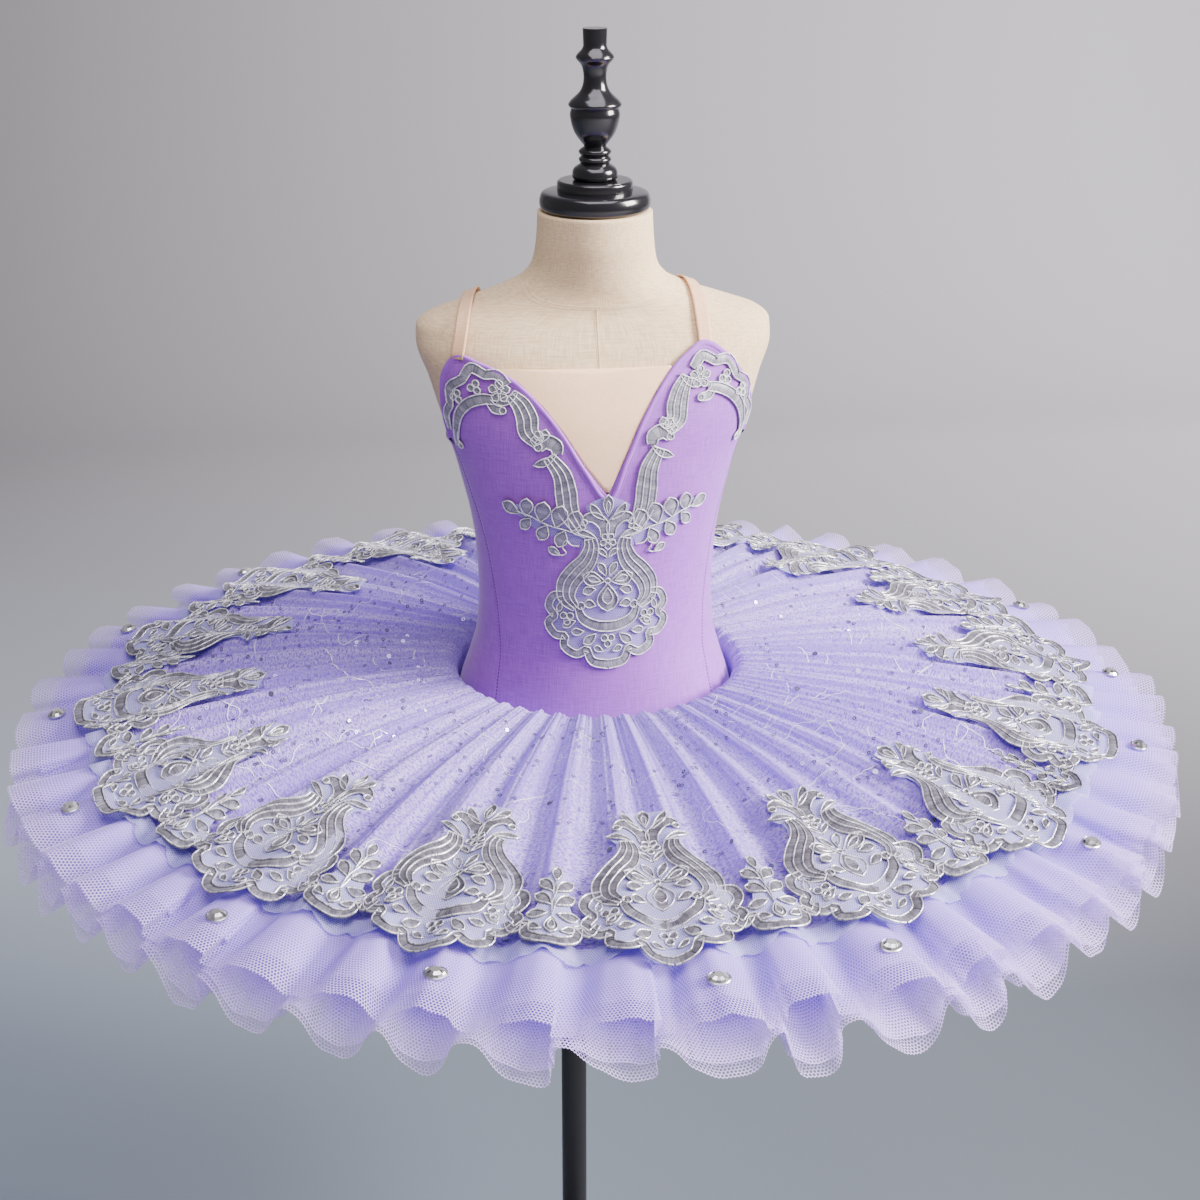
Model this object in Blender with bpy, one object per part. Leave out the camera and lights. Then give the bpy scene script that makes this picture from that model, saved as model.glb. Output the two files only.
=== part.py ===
"""Ballet tutu on a child-size dress form, in metres, front towards -Y, +Z up.

The leotard (front, two sides, back, neckline insert, straps, binding and panty) is a set of
thin cloth walls laid round the padded form. A pleated net overlay and three waved tulle
ruffles grow out of the panty, rise to the skirt's round opening and reach out to the rim.
Corded lace and stones lie on top. The form stands on a pole and a round base plate.
"""

import math
import random

import bpy
import numpy as np
from mathutils import Matrix, Vector
from mathutils.geometry import delaunay_2d_cdt

for leftover in list(bpy.data.objects):
    bpy.data.objects.remove(leftover, do_unlink=True)

# ---------------------------------------------------------------- driving sizes
OPENING_HEIGHT = 0.665        # the skirt's round opening above the floor; levels count from it
TOUCHING_GAP = 0.0003         # between pieces that touch
CLOTH_WALL = 0.0012
NET_WALL = 0.0012
LACE_WALL = 0.0010
BODICE_STAND_OFF = 0.0012     # inner side of the leotard above the padded form
BINDING_WIDTH = 0.0055
BINDING_WALL = 0.0010
BINDING_GAP = 0.0008
SEAM_TURN = 0.25              # degrees left between neighbouring panels at a seam
STRAP_WIDTH = 0.010
STRAP_GAP = 0.0004            # added to the bodice's stand-off, as a strap bridges the shoulder

BASE_RADIUS = 0.140
BASE_THICKNESS = 0.009
COLLAR_RADIUS = 0.020
COLLAR_HEIGHT = 0.030
POLE_RADIUS = 0.0105
POLE_X = -0.018               # the pole stands a little to one side of the form's axis

WAVES = 50                    # waves round each ruffle, and pleats round the overlay
MOTIFS = 16                   # lace motifs round the skirt, each with its stone
RIM_RADIUS = 0.450
FRONT_DROOP = 0.009           # the front of the rim hangs this much lower

# ---------------------------------------------------------------- the padded form
# level above the opening, half width, half depth, centre in depth, squareness of the section
FORM_SECTIONS = np.array((
    (-0.165, 0.1000, 0.0825, 0.004, 2.30),
    (-0.158, 0.1035, 0.0855, 0.004, 2.30),
    (-0.135, 0.1070, 0.0882, 0.004, 2.30),
    (-0.085, 0.1100, 0.0905, 0.004, 2.30),
    (-0.050, 0.1085, 0.0885, 0.003, 2.25),
    (-0.017, 0.1030, 0.0840, 0.002, 2.20),
    (0.005, 0.0960, 0.0795, 0.001, 2.15),
    (0.030, 0.0895, 0.0750, 0.000, 2.10),
    (0.062, 0.0875, 0.0725, 0.000, 2.10),
    (0.099, 0.0892, 0.0735, 0.001, 2.15),
    (0.125, 0.0928, 0.0755, 0.002, 2.20),
    (0.152, 0.0990, 0.0775, 0.003, 2.25),
    (0.175, 0.1050, 0.0785, 0.004, 2.30),
    (0.201, 0.1150, 0.0770, 0.005, 2.40),
    (0.231, 0.1240, 0.0715, 0.007, 2.50),
    (0.256, 0.1320, 0.0630, 0.009, 2.50),
    (0.267, 0.1315, 0.0570, 0.010, 2.40),
    (0.274, 0.1240, 0.0525, 0.010, 2.30),
    (0.281, 0.1045, 0.0490, 0.010, 2.20),
    (0.292, 0.0720, 0.0470, 0.009, 2.10),
    (0.303, 0.0520, 0.0455, 0.006, 2.00),
    (0.314, 0.0455, 0.0440, 0.003, 2.00),
    (0.332, 0.0428, 0.0425, 0.000, 2.00),
    (0.350, 0.0418, 0.0415, 0.000, 2.00),
))
FORM_BOTTOM = FORM_SECTIONS[0, 0]
FORM_TOP = FORM_SECTIONS[-1, 0]
FORM_LEVELS = (
    -0.165, -0.158, -0.130, -0.085, -0.050, -0.020, 0.005, 0.030, 0.062, 0.099, 0.130,
    0.160, 0.190, 0.220, 0.243, 0.258, 0.268, 0.2745, 0.281, 0.287, 0.294, 0.304, 0.316,
    0.350,
)
FORM_SIDES = 28

# Turned profile of the neck cap and of the finial: radius, level.
CAP_PROFILE = (
    (0.0360, 0.3503), (0.0392, 0.3520), (0.0405, 0.3560), (0.0398, 0.3605), (0.0372, 0.3635),
    (0.0275, 0.3645), (0.0275, 0.3700), (0.0250, 0.3720),
)
FINIAL_PROFILE = (
    (0.0150, 0.3723), (0.0165, 0.3745), (0.0155, 0.3800), (0.0105, 0.3838),
    (0.0118, 0.3868), (0.0100, 0.3890), (0.0118, 0.3925), (0.0078, 0.3960),
    (0.0150, 0.4060), (0.0180, 0.4170), (0.0172, 0.4225), (0.0192, 0.4252), (0.0172, 0.4285),
    (0.0105, 0.4350), (0.0082, 0.4430), (0.0095, 0.4520), (0.0138, 0.4580), (0.0095, 0.4635),
    (0.0084, 0.4660), (0.0088, 0.4780),
)

# ---------------------------------------------------------------- the leotard
# Edge of the neckline and armholes across the front: along the girth from the centre
# (wearer's right is negative), level. The peaks carry the straps.
NECKLINE = (
    (-0.1310, 0.1900), (-0.1300, 0.2100), (-0.1245, 0.2330), (-0.1170, 0.2470),
    (-0.1060, 0.2560), (-0.0900, 0.2515), (-0.0770, 0.2465), (-0.0615, 0.2375),
    (-0.0445, 0.2205), (-0.0305, 0.2020), (-0.0165, 0.1790), (0.0000, 0.1570),
    (0.0125, 0.1840), (0.0235, 0.2085), (0.0355, 0.2290), (0.0485, 0.2460),
    (0.0630, 0.2575), (0.0750, 0.2620), (0.0905, 0.2535), (0.1060, 0.2375),
    (0.1180, 0.2200), (0.1250, 0.2040), (0.1250, 0.1900),
)
PEAK_RIGHT, PEAK_LEFT = NECKLINE[4], NECKLINE[17]
BINDING_SPAN = (4, 18)        # neckline points that the folded edge follows, peak to peak
INSERT_SPAN = (7, 16)         # neckline points between which the nude insert is set
INSERT_TOP_LEVEL = 0.2468
INSERT_GAP = 0.0004           # round the insert
INSERT_TOP_INSET = (0.0020, 0.0008)   # at its right and left corners, along the girth
LEOTARD_LEVEL = -0.0250       # where the bodice panels meet the panty
SEAM_ANGLE_LOW = 50.0         # princess seams at the panty, degrees from the centre front
BACK_SEAM_ANGLE = 118.0
UNDERARM_LEVEL = 0.1895        # top of a side panel at its princess seam
BACK_NECK = (                 # top edge of the back: degrees from the centre front, level
    (118.0, 0.1780), (128.0, 0.1775), (140.0, 0.1740), (150.0, 0.1670), (160.0, 0.1590),
    (170.0, 0.1540), (180.0, 0.1520),
)
STRAP_BACK = (0.066, 0.1752)  # where a strap meets the back: distance from the centre, level
STRAP_END_GAPS = (0.0006, 0.0030)     # above the front peak and above the back's edge
LEG_EDGE = (                  # panty leg opening: degrees from the panty's middle, level
    (90.0, -0.0900), (80.0, -0.0930), (70.0, -0.1000), (60.0, -0.1110), (50.0, -0.1240),
    (40.0, -0.1370), (30.0, -0.1470), (21.0, -0.1530), (12.0, -0.1550),
)
GUSSET_WIDTH = 0.034
GUSSET_X = 0.0150             # the gusset passes beside the pole
GUSSET_TURN_IN = -0.1600      # level at which it turns under the form
GUSSET_GAP = 0.0008           # below the panels it meets

# ---------------------------------------------------------------- the skirt
# Rings from the panty to the edge: radius, mean level, half wave height, points in a wave.
# The first ring lies on the panty, so its radius is not used.
OVERLAY_RINGS = (
    (0.000, -0.0300, 0.0000, 1),
    (0.1085, -0.0060, 0.0004, 1),
    (0.1160, 0.0005, 0.0014, 2),
    (0.2050, -0.0025, 0.0026, 2),
    (0.3050, -0.0150, 0.0038, 2),
    (0.3880, -0.0310, 0.0052, 2),
)
# The top ruffle arches over every wave and the two below hang as troughs under it (their half
# heights are negative), so that each wave ends at the rim as an open tube.
RUFFLE_RINGS = (
    (
        (0.000, -0.0420, 0.0000, 1),
        (0.1180, -0.0090, 0.0004, 1),
        (0.2450, -0.0140, 0.0010, 1),
        (0.3850, -0.0350, 0.0040, 2),
        (RIM_RADIUS, -0.0430, 0.0070, 4),
    ),
    (
        (0.000, -0.0540, 0.0000, 1),
        (0.1250, -0.0150, 0.0004, 1),
        (0.3860, -0.0475, -0.0050, 2),
        (RIM_RADIUS + 0.002, -0.0625, -0.0095, 4),
    ),
    (
        (0.000, -0.0660, 0.0000, 1),
        (0.1320, -0.0210, 0.0004, 1),
        (0.3870, -0.0535, -0.0060, 2),
        (RIM_RADIUS + 0.005, -0.0695, -0.0120, 4),
    ),
)
RING_SHARES = {1: (0.25,), 2: (0.0, 0.5), 4: (-0.1, 0.1, 0.4, 0.6)}   # where they lie in a wave
NET_ROOT_GAP = 0.0014         # between the panty and the middle of a net layer's first ring
PANTY_STAND_OFF = BODICE_STAND_OFF + CLOTH_WALL + NET_ROOT_GAP

# ---------------------------------------------------------------- lace and stones
# Half outline of the crest motif and its gaps, in mm: across, along (0 at the palmette).
MOTIF_OUTLINE = (
    (0, 0), (20, 10), (14, 24), (31, 27), (27, 43), (38, 61), (50, 79), (47, 95), (51, 107),
    (39, 118), (34, 130), (14, 135), (0, 146),
)
MOTIF_GAPS = (
    ((9, 42), (18, 50), (24, 68), (15, 66)),
    ((26, 98), (38, 98), (40, 108), (28, 112)),
)
MOTIF_MIDDLE_GAP = ((-15, 116), (15, 116), (8, 127), (-8, 127))
MOTIF_INNER_RADIUS = 0.255
MOTIF_SPREAD = 9.0            # degrees each side that a motif's widest part covers
BODICE_LACE_GAP = 0.0008
SKIRT_LACE_GAP = 0.0013
BODICE_CREST_SCALE = 0.93
BODICE_CREST_TOP = 0.1560
BODICE_CREST_LIFT = 0.0014    # over the folded edge at the foot of the V
CREST_FILL_STEP = 0.013       # spacing of the points that let the crest bend with the bodice
SPRAY = ((17, 25), (44, 17), (72, 14), (85, 20), (77, 32), (50, 39), (24, 42))
# Lace bands on the bodice, along their middle line: along the girth, level.
BAND_PATHS = {
    "bodice_lace_neck_right": ((-0.0640, 0.2220), (-0.0540, 0.2060), (-0.0440, 0.1910),
                               (-0.0370, 0.1760), (-0.0310, 0.1620)),
    "bodice_lace_neck_left": ((0.0560, 0.2340), (0.0460, 0.2170), (0.0370, 0.2000),
                              (0.0300, 0.1820), (0.0270, 0.1640)),
    "bodice_lace_cup_right": ((-0.1180, 0.1980), (-0.1150, 0.2190), (-0.1030, 0.2330),
                              (-0.0880, 0.2350), (-0.0730, 0.2290)),
    "bodice_lace_cup_left": ((0.1140, 0.1950), (0.1070, 0.2110), (0.0955, 0.2260),
                             (0.0820, 0.2370), (0.0660, 0.2400)),
}
BAND_HALF_WIDTH = 0.0085
BAND_SCALLOP = 0.0014
CUP_GAPS = ((0.14, 0.42), (0.58, 0.86))
CUP_GAP_HALF_WIDTH = 0.0030
STONE_RADIUS = 0.0055
STONE_RING_RADIUS = 0.4180

COLOURS = {                   # base colour (linear), roughness, metallic
    "linen": ((0.60, 0.50, 0.39), 0.90, 0.0),
    "gloss_black": ((0.012, 0.011, 0.013), 0.18, 0.0),
    "dark_metal": ((0.020, 0.018, 0.024), 0.35, 0.6),
    "lilac_jersey": ((0.40, 0.25, 0.62), 0.60, 0.0),
    "nude_mesh": ((0.72, 0.55, 0.44), 0.70, 0.0),
    "lilac_net": ((0.62, 0.58, 0.85), 0.70, 0.0),
    "silver_lace": ((0.45, 0.44, 0.48), 0.45, 0.3),
    "stone": ((0.85, 0.86, 0.90), 0.05, 0.0),
}


# ---------------------------------------------------------------- shared helpers
def material(name):
    """The Principled material of one finish, made on its first use."""
    if name in bpy.data.materials:
        return bpy.data.materials[name]
    colour, roughness, metallic = COLOURS[name]
    made = bpy.data.materials.new(name)
    made.use_nodes = True
    shader = made.node_tree.nodes["Principled BSDF"]
    shader.inputs["Base Color"].default_value = (*colour, 1.0)
    shader.inputs["Roughness"].default_value = roughness
    shader.inputs["Metallic"].default_value = metallic
    return made


def add_object(name, points, faces, finish, wall=0.0, side=1.0):
    """A named object from points and faces; a wall thickness makes a closed cloth of it."""
    mesh = bpy.data.meshes.new(name)
    mesh.from_pydata([tuple(point) for point in points], [], faces)
    mesh.materials.append(material(finish))
    thing = bpy.data.objects.new(name, mesh)
    bpy.context.collection.objects.link(thing)
    mesh.shade_smooth()
    mesh.set_sharp_from_angle(angle=math.radians(40))
    if wall:
        solidify = thing.modifiers.new("wall", "SOLIDIFY")
        solidify.thickness = wall
        solidify.offset = side
        solidify.use_even_offset = True
        solidify.thickness_clamp = 0.0
    return thing


def smooth_at(rows, column, level):
    """Monotone cubic interpolation of one column of a table by its first column."""
    levels, values = rows[:, 0], rows[:, column]
    steps = np.diff(levels)
    slopes = np.diff(values) / steps
    tangents = np.zeros_like(values)
    tangents[0], tangents[-1] = slopes[0], slopes[-1]
    for i in range(1, len(values) - 1):
        if slopes[i - 1] * slopes[i] > 0:
            before = 2 * steps[i] + steps[i - 1]
            after = steps[i] + 2 * steps[i - 1]
            tangents[i] = (before + after) / (before / slopes[i - 1] + after / slopes[i])
    i = int(np.clip(np.searchsorted(levels, level) - 1, 0, len(steps) - 1))
    t = (level - levels[i]) / steps[i]
    return float(
        (2 * t**3 - 3 * t**2 + 1) * values[i]
        + (t**3 - 2 * t**2 + t) * steps[i] * tangents[i]
        + (3 * t**2 - 2 * t**3) * values[i + 1]
        + (t**3 - t**2) * steps[i] * tangents[i + 1]
    )


def section(level):
    """Half width, half depth, centre in depth and power of the form at one level."""
    return [smooth_at(FORM_SECTIONS, column, level) for column in range(1, 5)]


def section_point(angle, level):
    """A point on the form: degrees from the centre front towards +X, and level."""
    half_width, half_depth, centre_y, power = section(level)
    sine, cosine = math.sin(math.radians(angle)), math.cos(math.radians(angle))
    across = math.copysign(abs(sine) ** (2 / power), sine)
    forward = math.copysign(abs(cosine) ** (2 / power), cosine)
    return Vector((half_width * across, centre_y - half_depth * forward,
                   OPENING_HEIGHT + level))


def form_point(angle, level, stand_off=0.0):
    """A point at a distance outside the form."""
    nudge = 1.0
    lift = 0.0015
    low, high = max(level - lift, FORM_BOTTOM), min(level + lift, FORM_TOP)
    along = section_point(angle + nudge, level) - section_point(angle - nudge, level)
    upward = section_point(angle, high) - section_point(angle, low)
    return section_point(angle, level) + along.cross(upward).normalized() * stand_off


def girth_angle(arc, level):
    """The angle that lies an arc length from the centre front, along the section."""
    angles = np.linspace(0.0, 175.0, 176)
    points = [section_point(angle, level) for angle in angles]
    lengths = [0.0]
    for before, after in zip(points, points[1:]):
        lengths.append(lengths[-1] + (after - before).length)
    return math.copysign(float(np.interp(abs(arc), lengths, angles)), arc)


def strip_faces(columns, rows, first=0):
    """Quads of a grid of points, row by row."""
    faces = []
    for row in range(rows - 1):
        for column in range(columns - 1):
            corner = first + row * columns + column
            faces.append((corner, corner + 1, corner + columns + 1, corner + columns))
    return faces


def panel(name, low_edge, high_edge, rows, stand_off, wall, finish, closer=1.0):
    """Cloth between two edges on the form, each a list of (degrees, level).

    Above 1, closer draws its rows together towards the high edge.
    """
    points = []
    for row in range(rows + 1):
        share = 1.0 - (1.0 - row / rows) ** closer
        for (low_angle, low_level), (high_angle, high_level) in zip(low_edge, high_edge):
            points.append(form_point(
                low_angle + share * (high_angle - low_angle),
                low_level + share * (high_level - low_level), stand_off))
    return add_object(name, points, strip_faces(len(low_edge), rows + 1), finish, wall)


def turned(name, profile, sides, finish, centre=(0.0, 0.0), placed=Matrix()):
    """A closed solid of revolution from (radius, height) rows, bottom to top."""
    points, faces = [], []
    for radius, height in profile:
        for side in range(sides):
            turn = 2 * math.pi * side / sides
            points.append(placed @ Vector((centre[0] + radius * math.cos(turn),
                                           centre[1] + radius * math.sin(turn), height)))
    for ring in range(len(profile) - 1):
        for side in range(sides):
            after = (side + 1) % sides
            faces.append((ring * sides + side, ring * sides + after,
                          (ring + 1) * sides + after, (ring + 1) * sides + side))
    faces.append(tuple(range(sides - 1, -1, -1)))
    top = (len(profile) - 1) * sides
    faces.append(tuple(range(top, top + sides)))
    return add_object(name, points, faces, finish)


# ---------------------------------------------------------------- stand
def build_stand():
    base_rows = ((BASE_RADIUS - 0.002, 0.0), (BASE_RADIUS, 0.002),
                 (BASE_RADIUS, BASE_THICKNESS - 0.003), (BASE_RADIUS - 0.004, BASE_THICKNESS))
    turned("base_plate", base_rows, 40, "dark_metal", (POLE_X, 0.0))
    collar_foot = BASE_THICKNESS + TOUCHING_GAP
    collar_rows = ((COLLAR_RADIUS, collar_foot), (COLLAR_RADIUS, collar_foot + 0.008),
                   (COLLAR_RADIUS - 0.006, collar_foot + COLLAR_HEIGHT - 0.002),
                   (COLLAR_RADIUS - 0.008, collar_foot + COLLAR_HEIGHT))
    turned("base_collar", collar_rows, 20, "dark_metal", (POLE_X, 0.0))
    pole_foot = collar_foot + COLLAR_HEIGHT + TOUCHING_GAP
    pole_head = OPENING_HEIGHT + FORM_BOTTOM - TOUCHING_GAP
    turned("pole", ((POLE_RADIUS, pole_foot), (POLE_RADIUS, pole_head)), 16, "dark_metal",
           (POLE_X, 0.0))


def build_form():
    points, faces = [], []
    for level in FORM_LEVELS:
        for side in range(FORM_SIDES):
            points.append(section_point(360.0 * side / FORM_SIDES, level))
    for ring in range(len(FORM_LEVELS) - 1):
        for side in range(FORM_SIDES):
            after = (side + 1) % FORM_SIDES
            faces.append((ring * FORM_SIDES + side, ring * FORM_SIDES + after,
                          (ring + 1) * FORM_SIDES + after, (ring + 1) * FORM_SIDES + side))
    faces.append(tuple(range(FORM_SIDES - 1, -1, -1)))
    top = (len(FORM_LEVELS) - 1) * FORM_SIDES
    faces.append(tuple(range(top, top + FORM_SIDES)))
    add_object("form_torso", points, faces, "linen")
    for name, profile, sides in (("neck_cap", CAP_PROFILE, 24), ("finial", FINIAL_PROFILE, 14)):
        rows = [(radius, OPENING_HEIGHT + level) for radius, level in profile]
        turned(name, rows, sides, "gloss_black")


# ---------------------------------------------------------------- leotard
def spread(first, last, count):
    return [first + (last - first) * i / (count - 1) for i in range(count)]


def neckline_angles(shift=0.0, points=NECKLINE):
    """Neckline points as (degrees, level), moved into the cloth by a distance."""
    edge = []
    for i, (arc, level) in enumerate(points):
        before = Vector(points[max(i - 1, 0)])
        after = Vector(points[min(i + 1, len(points) - 1)])
        here = Vector((arc, level))
        into = []
        for start, end in ((before, here), (here, after)):
            if (end - start).length > 1e-9:
                run = (end - start).normalized()
                into.append(Vector((run.y, -run.x)))
        mitre = sum(into, Vector((0.0, 0.0))).normalized()
        moved = here + mitre * (shift / max(mitre.dot(into[0]), 0.35))
        edge.append((girth_angle(moved.x, moved.y), moved.y))
    return edge


def build_bodice():
    top = neckline_angles()
    bottom = [(angle, LEOTARD_LEVEL)
              for angle in spread(-SEAM_ANGLE_LOW, SEAM_ANGLE_LOW, len(top))]
    panel("bodice_front", bottom, top, 9, BODICE_STAND_OFF, CLOTH_WALL, "lilac_jersey", 1.3)

    for side, name, front_top in ((-1, "bodice_side_right", top[0][0]),
                                  (1, "bodice_side_left", top[-1][0])):
        back_angle = side * (BACK_SEAM_ANGLE - SEAM_TURN)
        low = spread(side * (SEAM_ANGLE_LOW + SEAM_TURN), back_angle, 8)
        high = spread(front_top + side * SEAM_TURN, back_angle, 8)
        levels = spread(UNDERARM_LEVEL, BACK_NECK[0][1], 8)
        low_edge = [(angle, LEOTARD_LEVEL) for angle in low]
        high_edge = list(zip(high, levels))
        if side < 0:
            low_edge.reverse()
            high_edge.reverse()
        panel(name, low_edge, high_edge, 6, BODICE_STAND_OFF, CLOTH_WALL, "lilac_jersey")

    half = list(BACK_NECK)
    high_edge = half + [(360.0 - angle, level) for angle, level in reversed(half[:-1])]
    low_edge = [(angle, LEOTARD_LEVEL) for angle, level in high_edge]
    panel("bodice_back", low_edge, high_edge, 6, BODICE_STAND_OFF, CLOTH_WALL, "lilac_jersey")

    # Nude insert in the V, a seam's gap inside it.
    first, last = INSERT_SPAN
    inside = neckline_angles(-INSERT_GAP)[first:last]
    arcs = spread(NECKLINE[first][0] - INSERT_TOP_INSET[0],
                  NECKLINE[last - 1][0] - INSERT_TOP_INSET[1], len(inside))
    insert_top = [(girth_angle(arc, INSERT_TOP_LEVEL), INSERT_TOP_LEVEL) for arc in arcs]
    panel("neck_insert", inside, insert_top, 3, BODICE_STAND_OFF, CLOTH_WALL, "nude_mesh")

    # Folded edge on the bodice, over its neckline.
    lifted = BODICE_STAND_OFF + CLOTH_WALL + BINDING_GAP
    first, last = BINDING_SPAN
    panel("neck_binding", neckline_angles(BINDING_WIDTH)[first:last], top[first:last], 1,
          lifted, BINDING_WALL, "lilac_jersey")


def form_gap(point):
    """Below zero inside the form, above it outside."""
    level = point.z - OPENING_HEIGHT
    if level <= FORM_BOTTOM or level >= FORM_TOP:
        return 1.0
    half_width, half_depth, centre_y, power = section(level)
    return (abs(point.x / half_width) ** power
            + abs((point.y - centre_y) / half_depth) ** power - 1.0)


def over_shoulder(x, tilt):
    """Where a ray from inside the shoulder meets the form; tilt 0 is forward, 90 is up."""
    start = Vector((x, 0.010, OPENING_HEIGHT + 0.225))
    ray = Vector((0.0, -math.cos(math.radians(tilt)), math.sin(math.radians(tilt))))
    near, far = 0.0, 0.15
    for _ in range(30):
        middle = (near + far) / 2
        if form_gap(start + ray * middle) < 0:
            near = middle
        else:
            far = middle
    return start + ray * near


def form_normal(point):
    nudge = 0.0004
    slope = Vector([
        form_gap(point + step) - form_gap(point - step)
        for step in (Vector((nudge, 0, 0)), Vector((0, nudge, 0)), Vector((0, 0, nudge)))
    ])
    return slope.normalized()


def tilt_at(x, level, front):
    """The tilt at which a strap at x reaches a level, by halving."""
    low, high = (-80.0, 90.0) if front else (90.0, 260.0)
    for _ in range(30):
        middle = (low + high) / 2
        above = over_shoulder(x, middle).z - OPENING_HEIGHT > level
        if above == front:
            high = middle
        else:
            low = middle
    return (low + high) / 2


def build_straps():
    steps = 16
    for name, side, peak in (("strap_right", -1, PEAK_RIGHT), ("strap_left", 1, PEAK_LEFT)):
        peak_x = section_point(girth_angle(*peak), peak[1]).x
        back_x = side * STRAP_BACK[0]
        start = tilt_at(peak_x, peak[1] + STRAP_END_GAPS[0], True)
        finish = tilt_at(back_x, STRAP_BACK[1] + STRAP_END_GAPS[1], False)
        centres = []
        for step in range(steps + 1):
            share = step / steps
            x = peak_x + (back_x - peak_x) * share
            centres.append(over_shoulder(x, start + (finish - start) * share))
        points = []
        for i, centre in enumerate(centres):
            run = centres[min(i + 1, steps)] - centres[max(i - 1, 0)]
            normal = form_normal(centre)
            across = run.cross(normal).normalized() * (STRAP_WIDTH / 2)
            for edge in (-1, 0, 1):
                spot = centre + across * edge
                points.append(spot + normal * (BODICE_STAND_OFF + STRAP_GAP))
        add_object(name, points, strip_faces(3, steps + 1), "nude_mesh", CLOTH_WALL, 1.0)


def build_panty():
    top_level = LEOTARD_LEVEL - TOUCHING_GAP
    lean = math.degrees(math.atan2(GUSSET_X, FORM_SECTIONS[0, 2]))
    for name, middle, sign in (("panty_front", 0.0, 1), ("panty_back", 180.0, -1)):
        low_edge = []
        for angle, level in LEG_EDGE:
            low_edge.append((middle - angle, level))
        low_edge.append((middle, LEG_EDGE[-1][1]))
        for angle, level in reversed(LEG_EDGE):
            low_edge.append((middle + angle, level))
        shifted = []
        for angle, level in low_edge:
            near_crotch = max(0.0, 1.0 - abs(angle - middle) / 90.0)
            shifted.append((angle + sign * lean * near_crotch, level))
        first, last = middle - 90.0 + SEAM_TURN, middle + 90.0 - SEAM_TURN
        tops = spread(first, last, len(shifted))
        shifted[0] = (first, shifted[0][1])
        shifted[-1] = (last, shifted[-1][1])
        panel(name, shifted, [(angle, top_level) for angle in tops], 4, BODICE_STAND_OFF,
              CLOTH_WALL, "lilac_jersey")

    # Gusset under the flat bottom of the form, from the front panel to the back one.
    under = OPENING_HEIGHT + FORM_BOTTOM - BODICE_STAND_OFF
    side_levels = (LEG_EDGE[-1][1] - GUSSET_GAP, GUSSET_TURN_IN)
    points = []
    columns = spread(GUSSET_X - GUSSET_WIDTH / 2, GUSSET_X + GUSSET_WIDTH / 2, 3)
    for sign, levels in ((-1, side_levels), (1, side_levels[::-1])):
        edge = [(level, OPENING_HEIGHT + level) for level in levels]
        corner = (FORM_BOTTOM, under)
        edge = edge + [corner] if sign < 0 else [corner] + edge
        for level, height in edge:
            half_width, half_depth, centre_y, power = section(level)
            for x in columns:
                reach = half_depth * (1 - abs(x / half_width) ** power) ** (1 / power)
                points.append((x, centre_y + sign * (reach + BODICE_STAND_OFF), height))
    add_object("panty_gusset", points, strip_faces(3, len(points) // 3), "lilac_jersey",
               CLOTH_WALL, -1.0)


# ---------------------------------------------------------------- skirt
def make_waves():
    """Start angle of every wave, and the height of its crest and its trough."""
    draw = random.Random(11)
    widths = [1.0 + 0.22 * draw.uniform(-1, 1) for _ in range(WAVES)]
    total = sum(widths)
    starts, angle = [], -3.6
    for width in widths:
        starts.append(angle)
        angle += 360.0 * width / total
    starts.append(starts[0] + 360.0)
    crests = [draw.uniform(0.82, 1.12) for _ in range(WAVES)]
    troughs = [draw.uniform(0.90, 1.04) for _ in range(WAVES)]
    return starts, crests, troughs


WAVE_STARTS, CRESTS, TROUGHS = make_waves()


def wave_at(index, share):
    """Angle and relative height inside one wave; share 0 is its crest, 0.5 its trough."""
    if share < 0:
        index, share = index - 1, share + 1.0
    index %= WAVES
    start, end = WAVE_STARTS[index], WAVE_STARTS[index + 1]
    angle = start + (end - start) * share
    height = math.cos(2 * math.pi * share)
    if height < 0:
        height *= TROUGHS[index]
    elif share < 0.5:
        height *= CRESTS[index]
    else:
        height *= CRESTS[(index + 1) % WAVES]
    return angle, height


def skirt_level(rings, radius):
    """Mean level and wave height of a layer at a radius."""
    radii = [ring[0] for ring in rings[1:]]
    level = float(np.interp(radius, radii, [ring[1] for ring in rings[1:]]))
    wave = float(np.interp(radius, radii, [ring[2] for ring in rings[1:]]))
    return level, wave


def droop(angle, radius):
    """How much lower the front hangs."""
    facing = max(0.0, math.cos(math.radians(angle)))
    reach = max(0.0, (radius - 0.11) / (RIM_RADIUS - 0.11))
    return FRONT_DROOP * facing * facing * reach * reach


def round_point(angle, radius, level):
    turn = math.radians(angle)
    return Vector((radius * math.sin(turn), -radius * math.cos(turn),
                   OPENING_HEIGHT + level - droop(angle, radius)))


def ring_points(ring, first_ring):
    radius, level, wave, per_wave = ring
    points = []
    for index in range(WAVES):
        for share in RING_SHARES[per_wave]:
            angle, height = wave_at(index, share)
            if first_ring:
                points.append(form_point(angle, level, PANTY_STAND_OFF))
            else:
                points.append(round_point(angle, radius, level + wave * height))
    return points


def between_rings(inner, outer, inner_count, outer_count):
    """Triangles between two closed rings; each inner point has its own outer points."""
    faces = []
    times = outer_count // inner_count
    for i in range(inner_count):
        here, there = inner + i, inner + (i + 1) % inner_count
        own = [outer + i * times + k for k in range(times)]
        following = outer + (i + 1) * times % outer_count
        faces += [(here, near, far) for near, far in zip(own, own[1:])]
        faces += [(here, own[-1], there), (own[-1], following, there)]
    return faces


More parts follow.
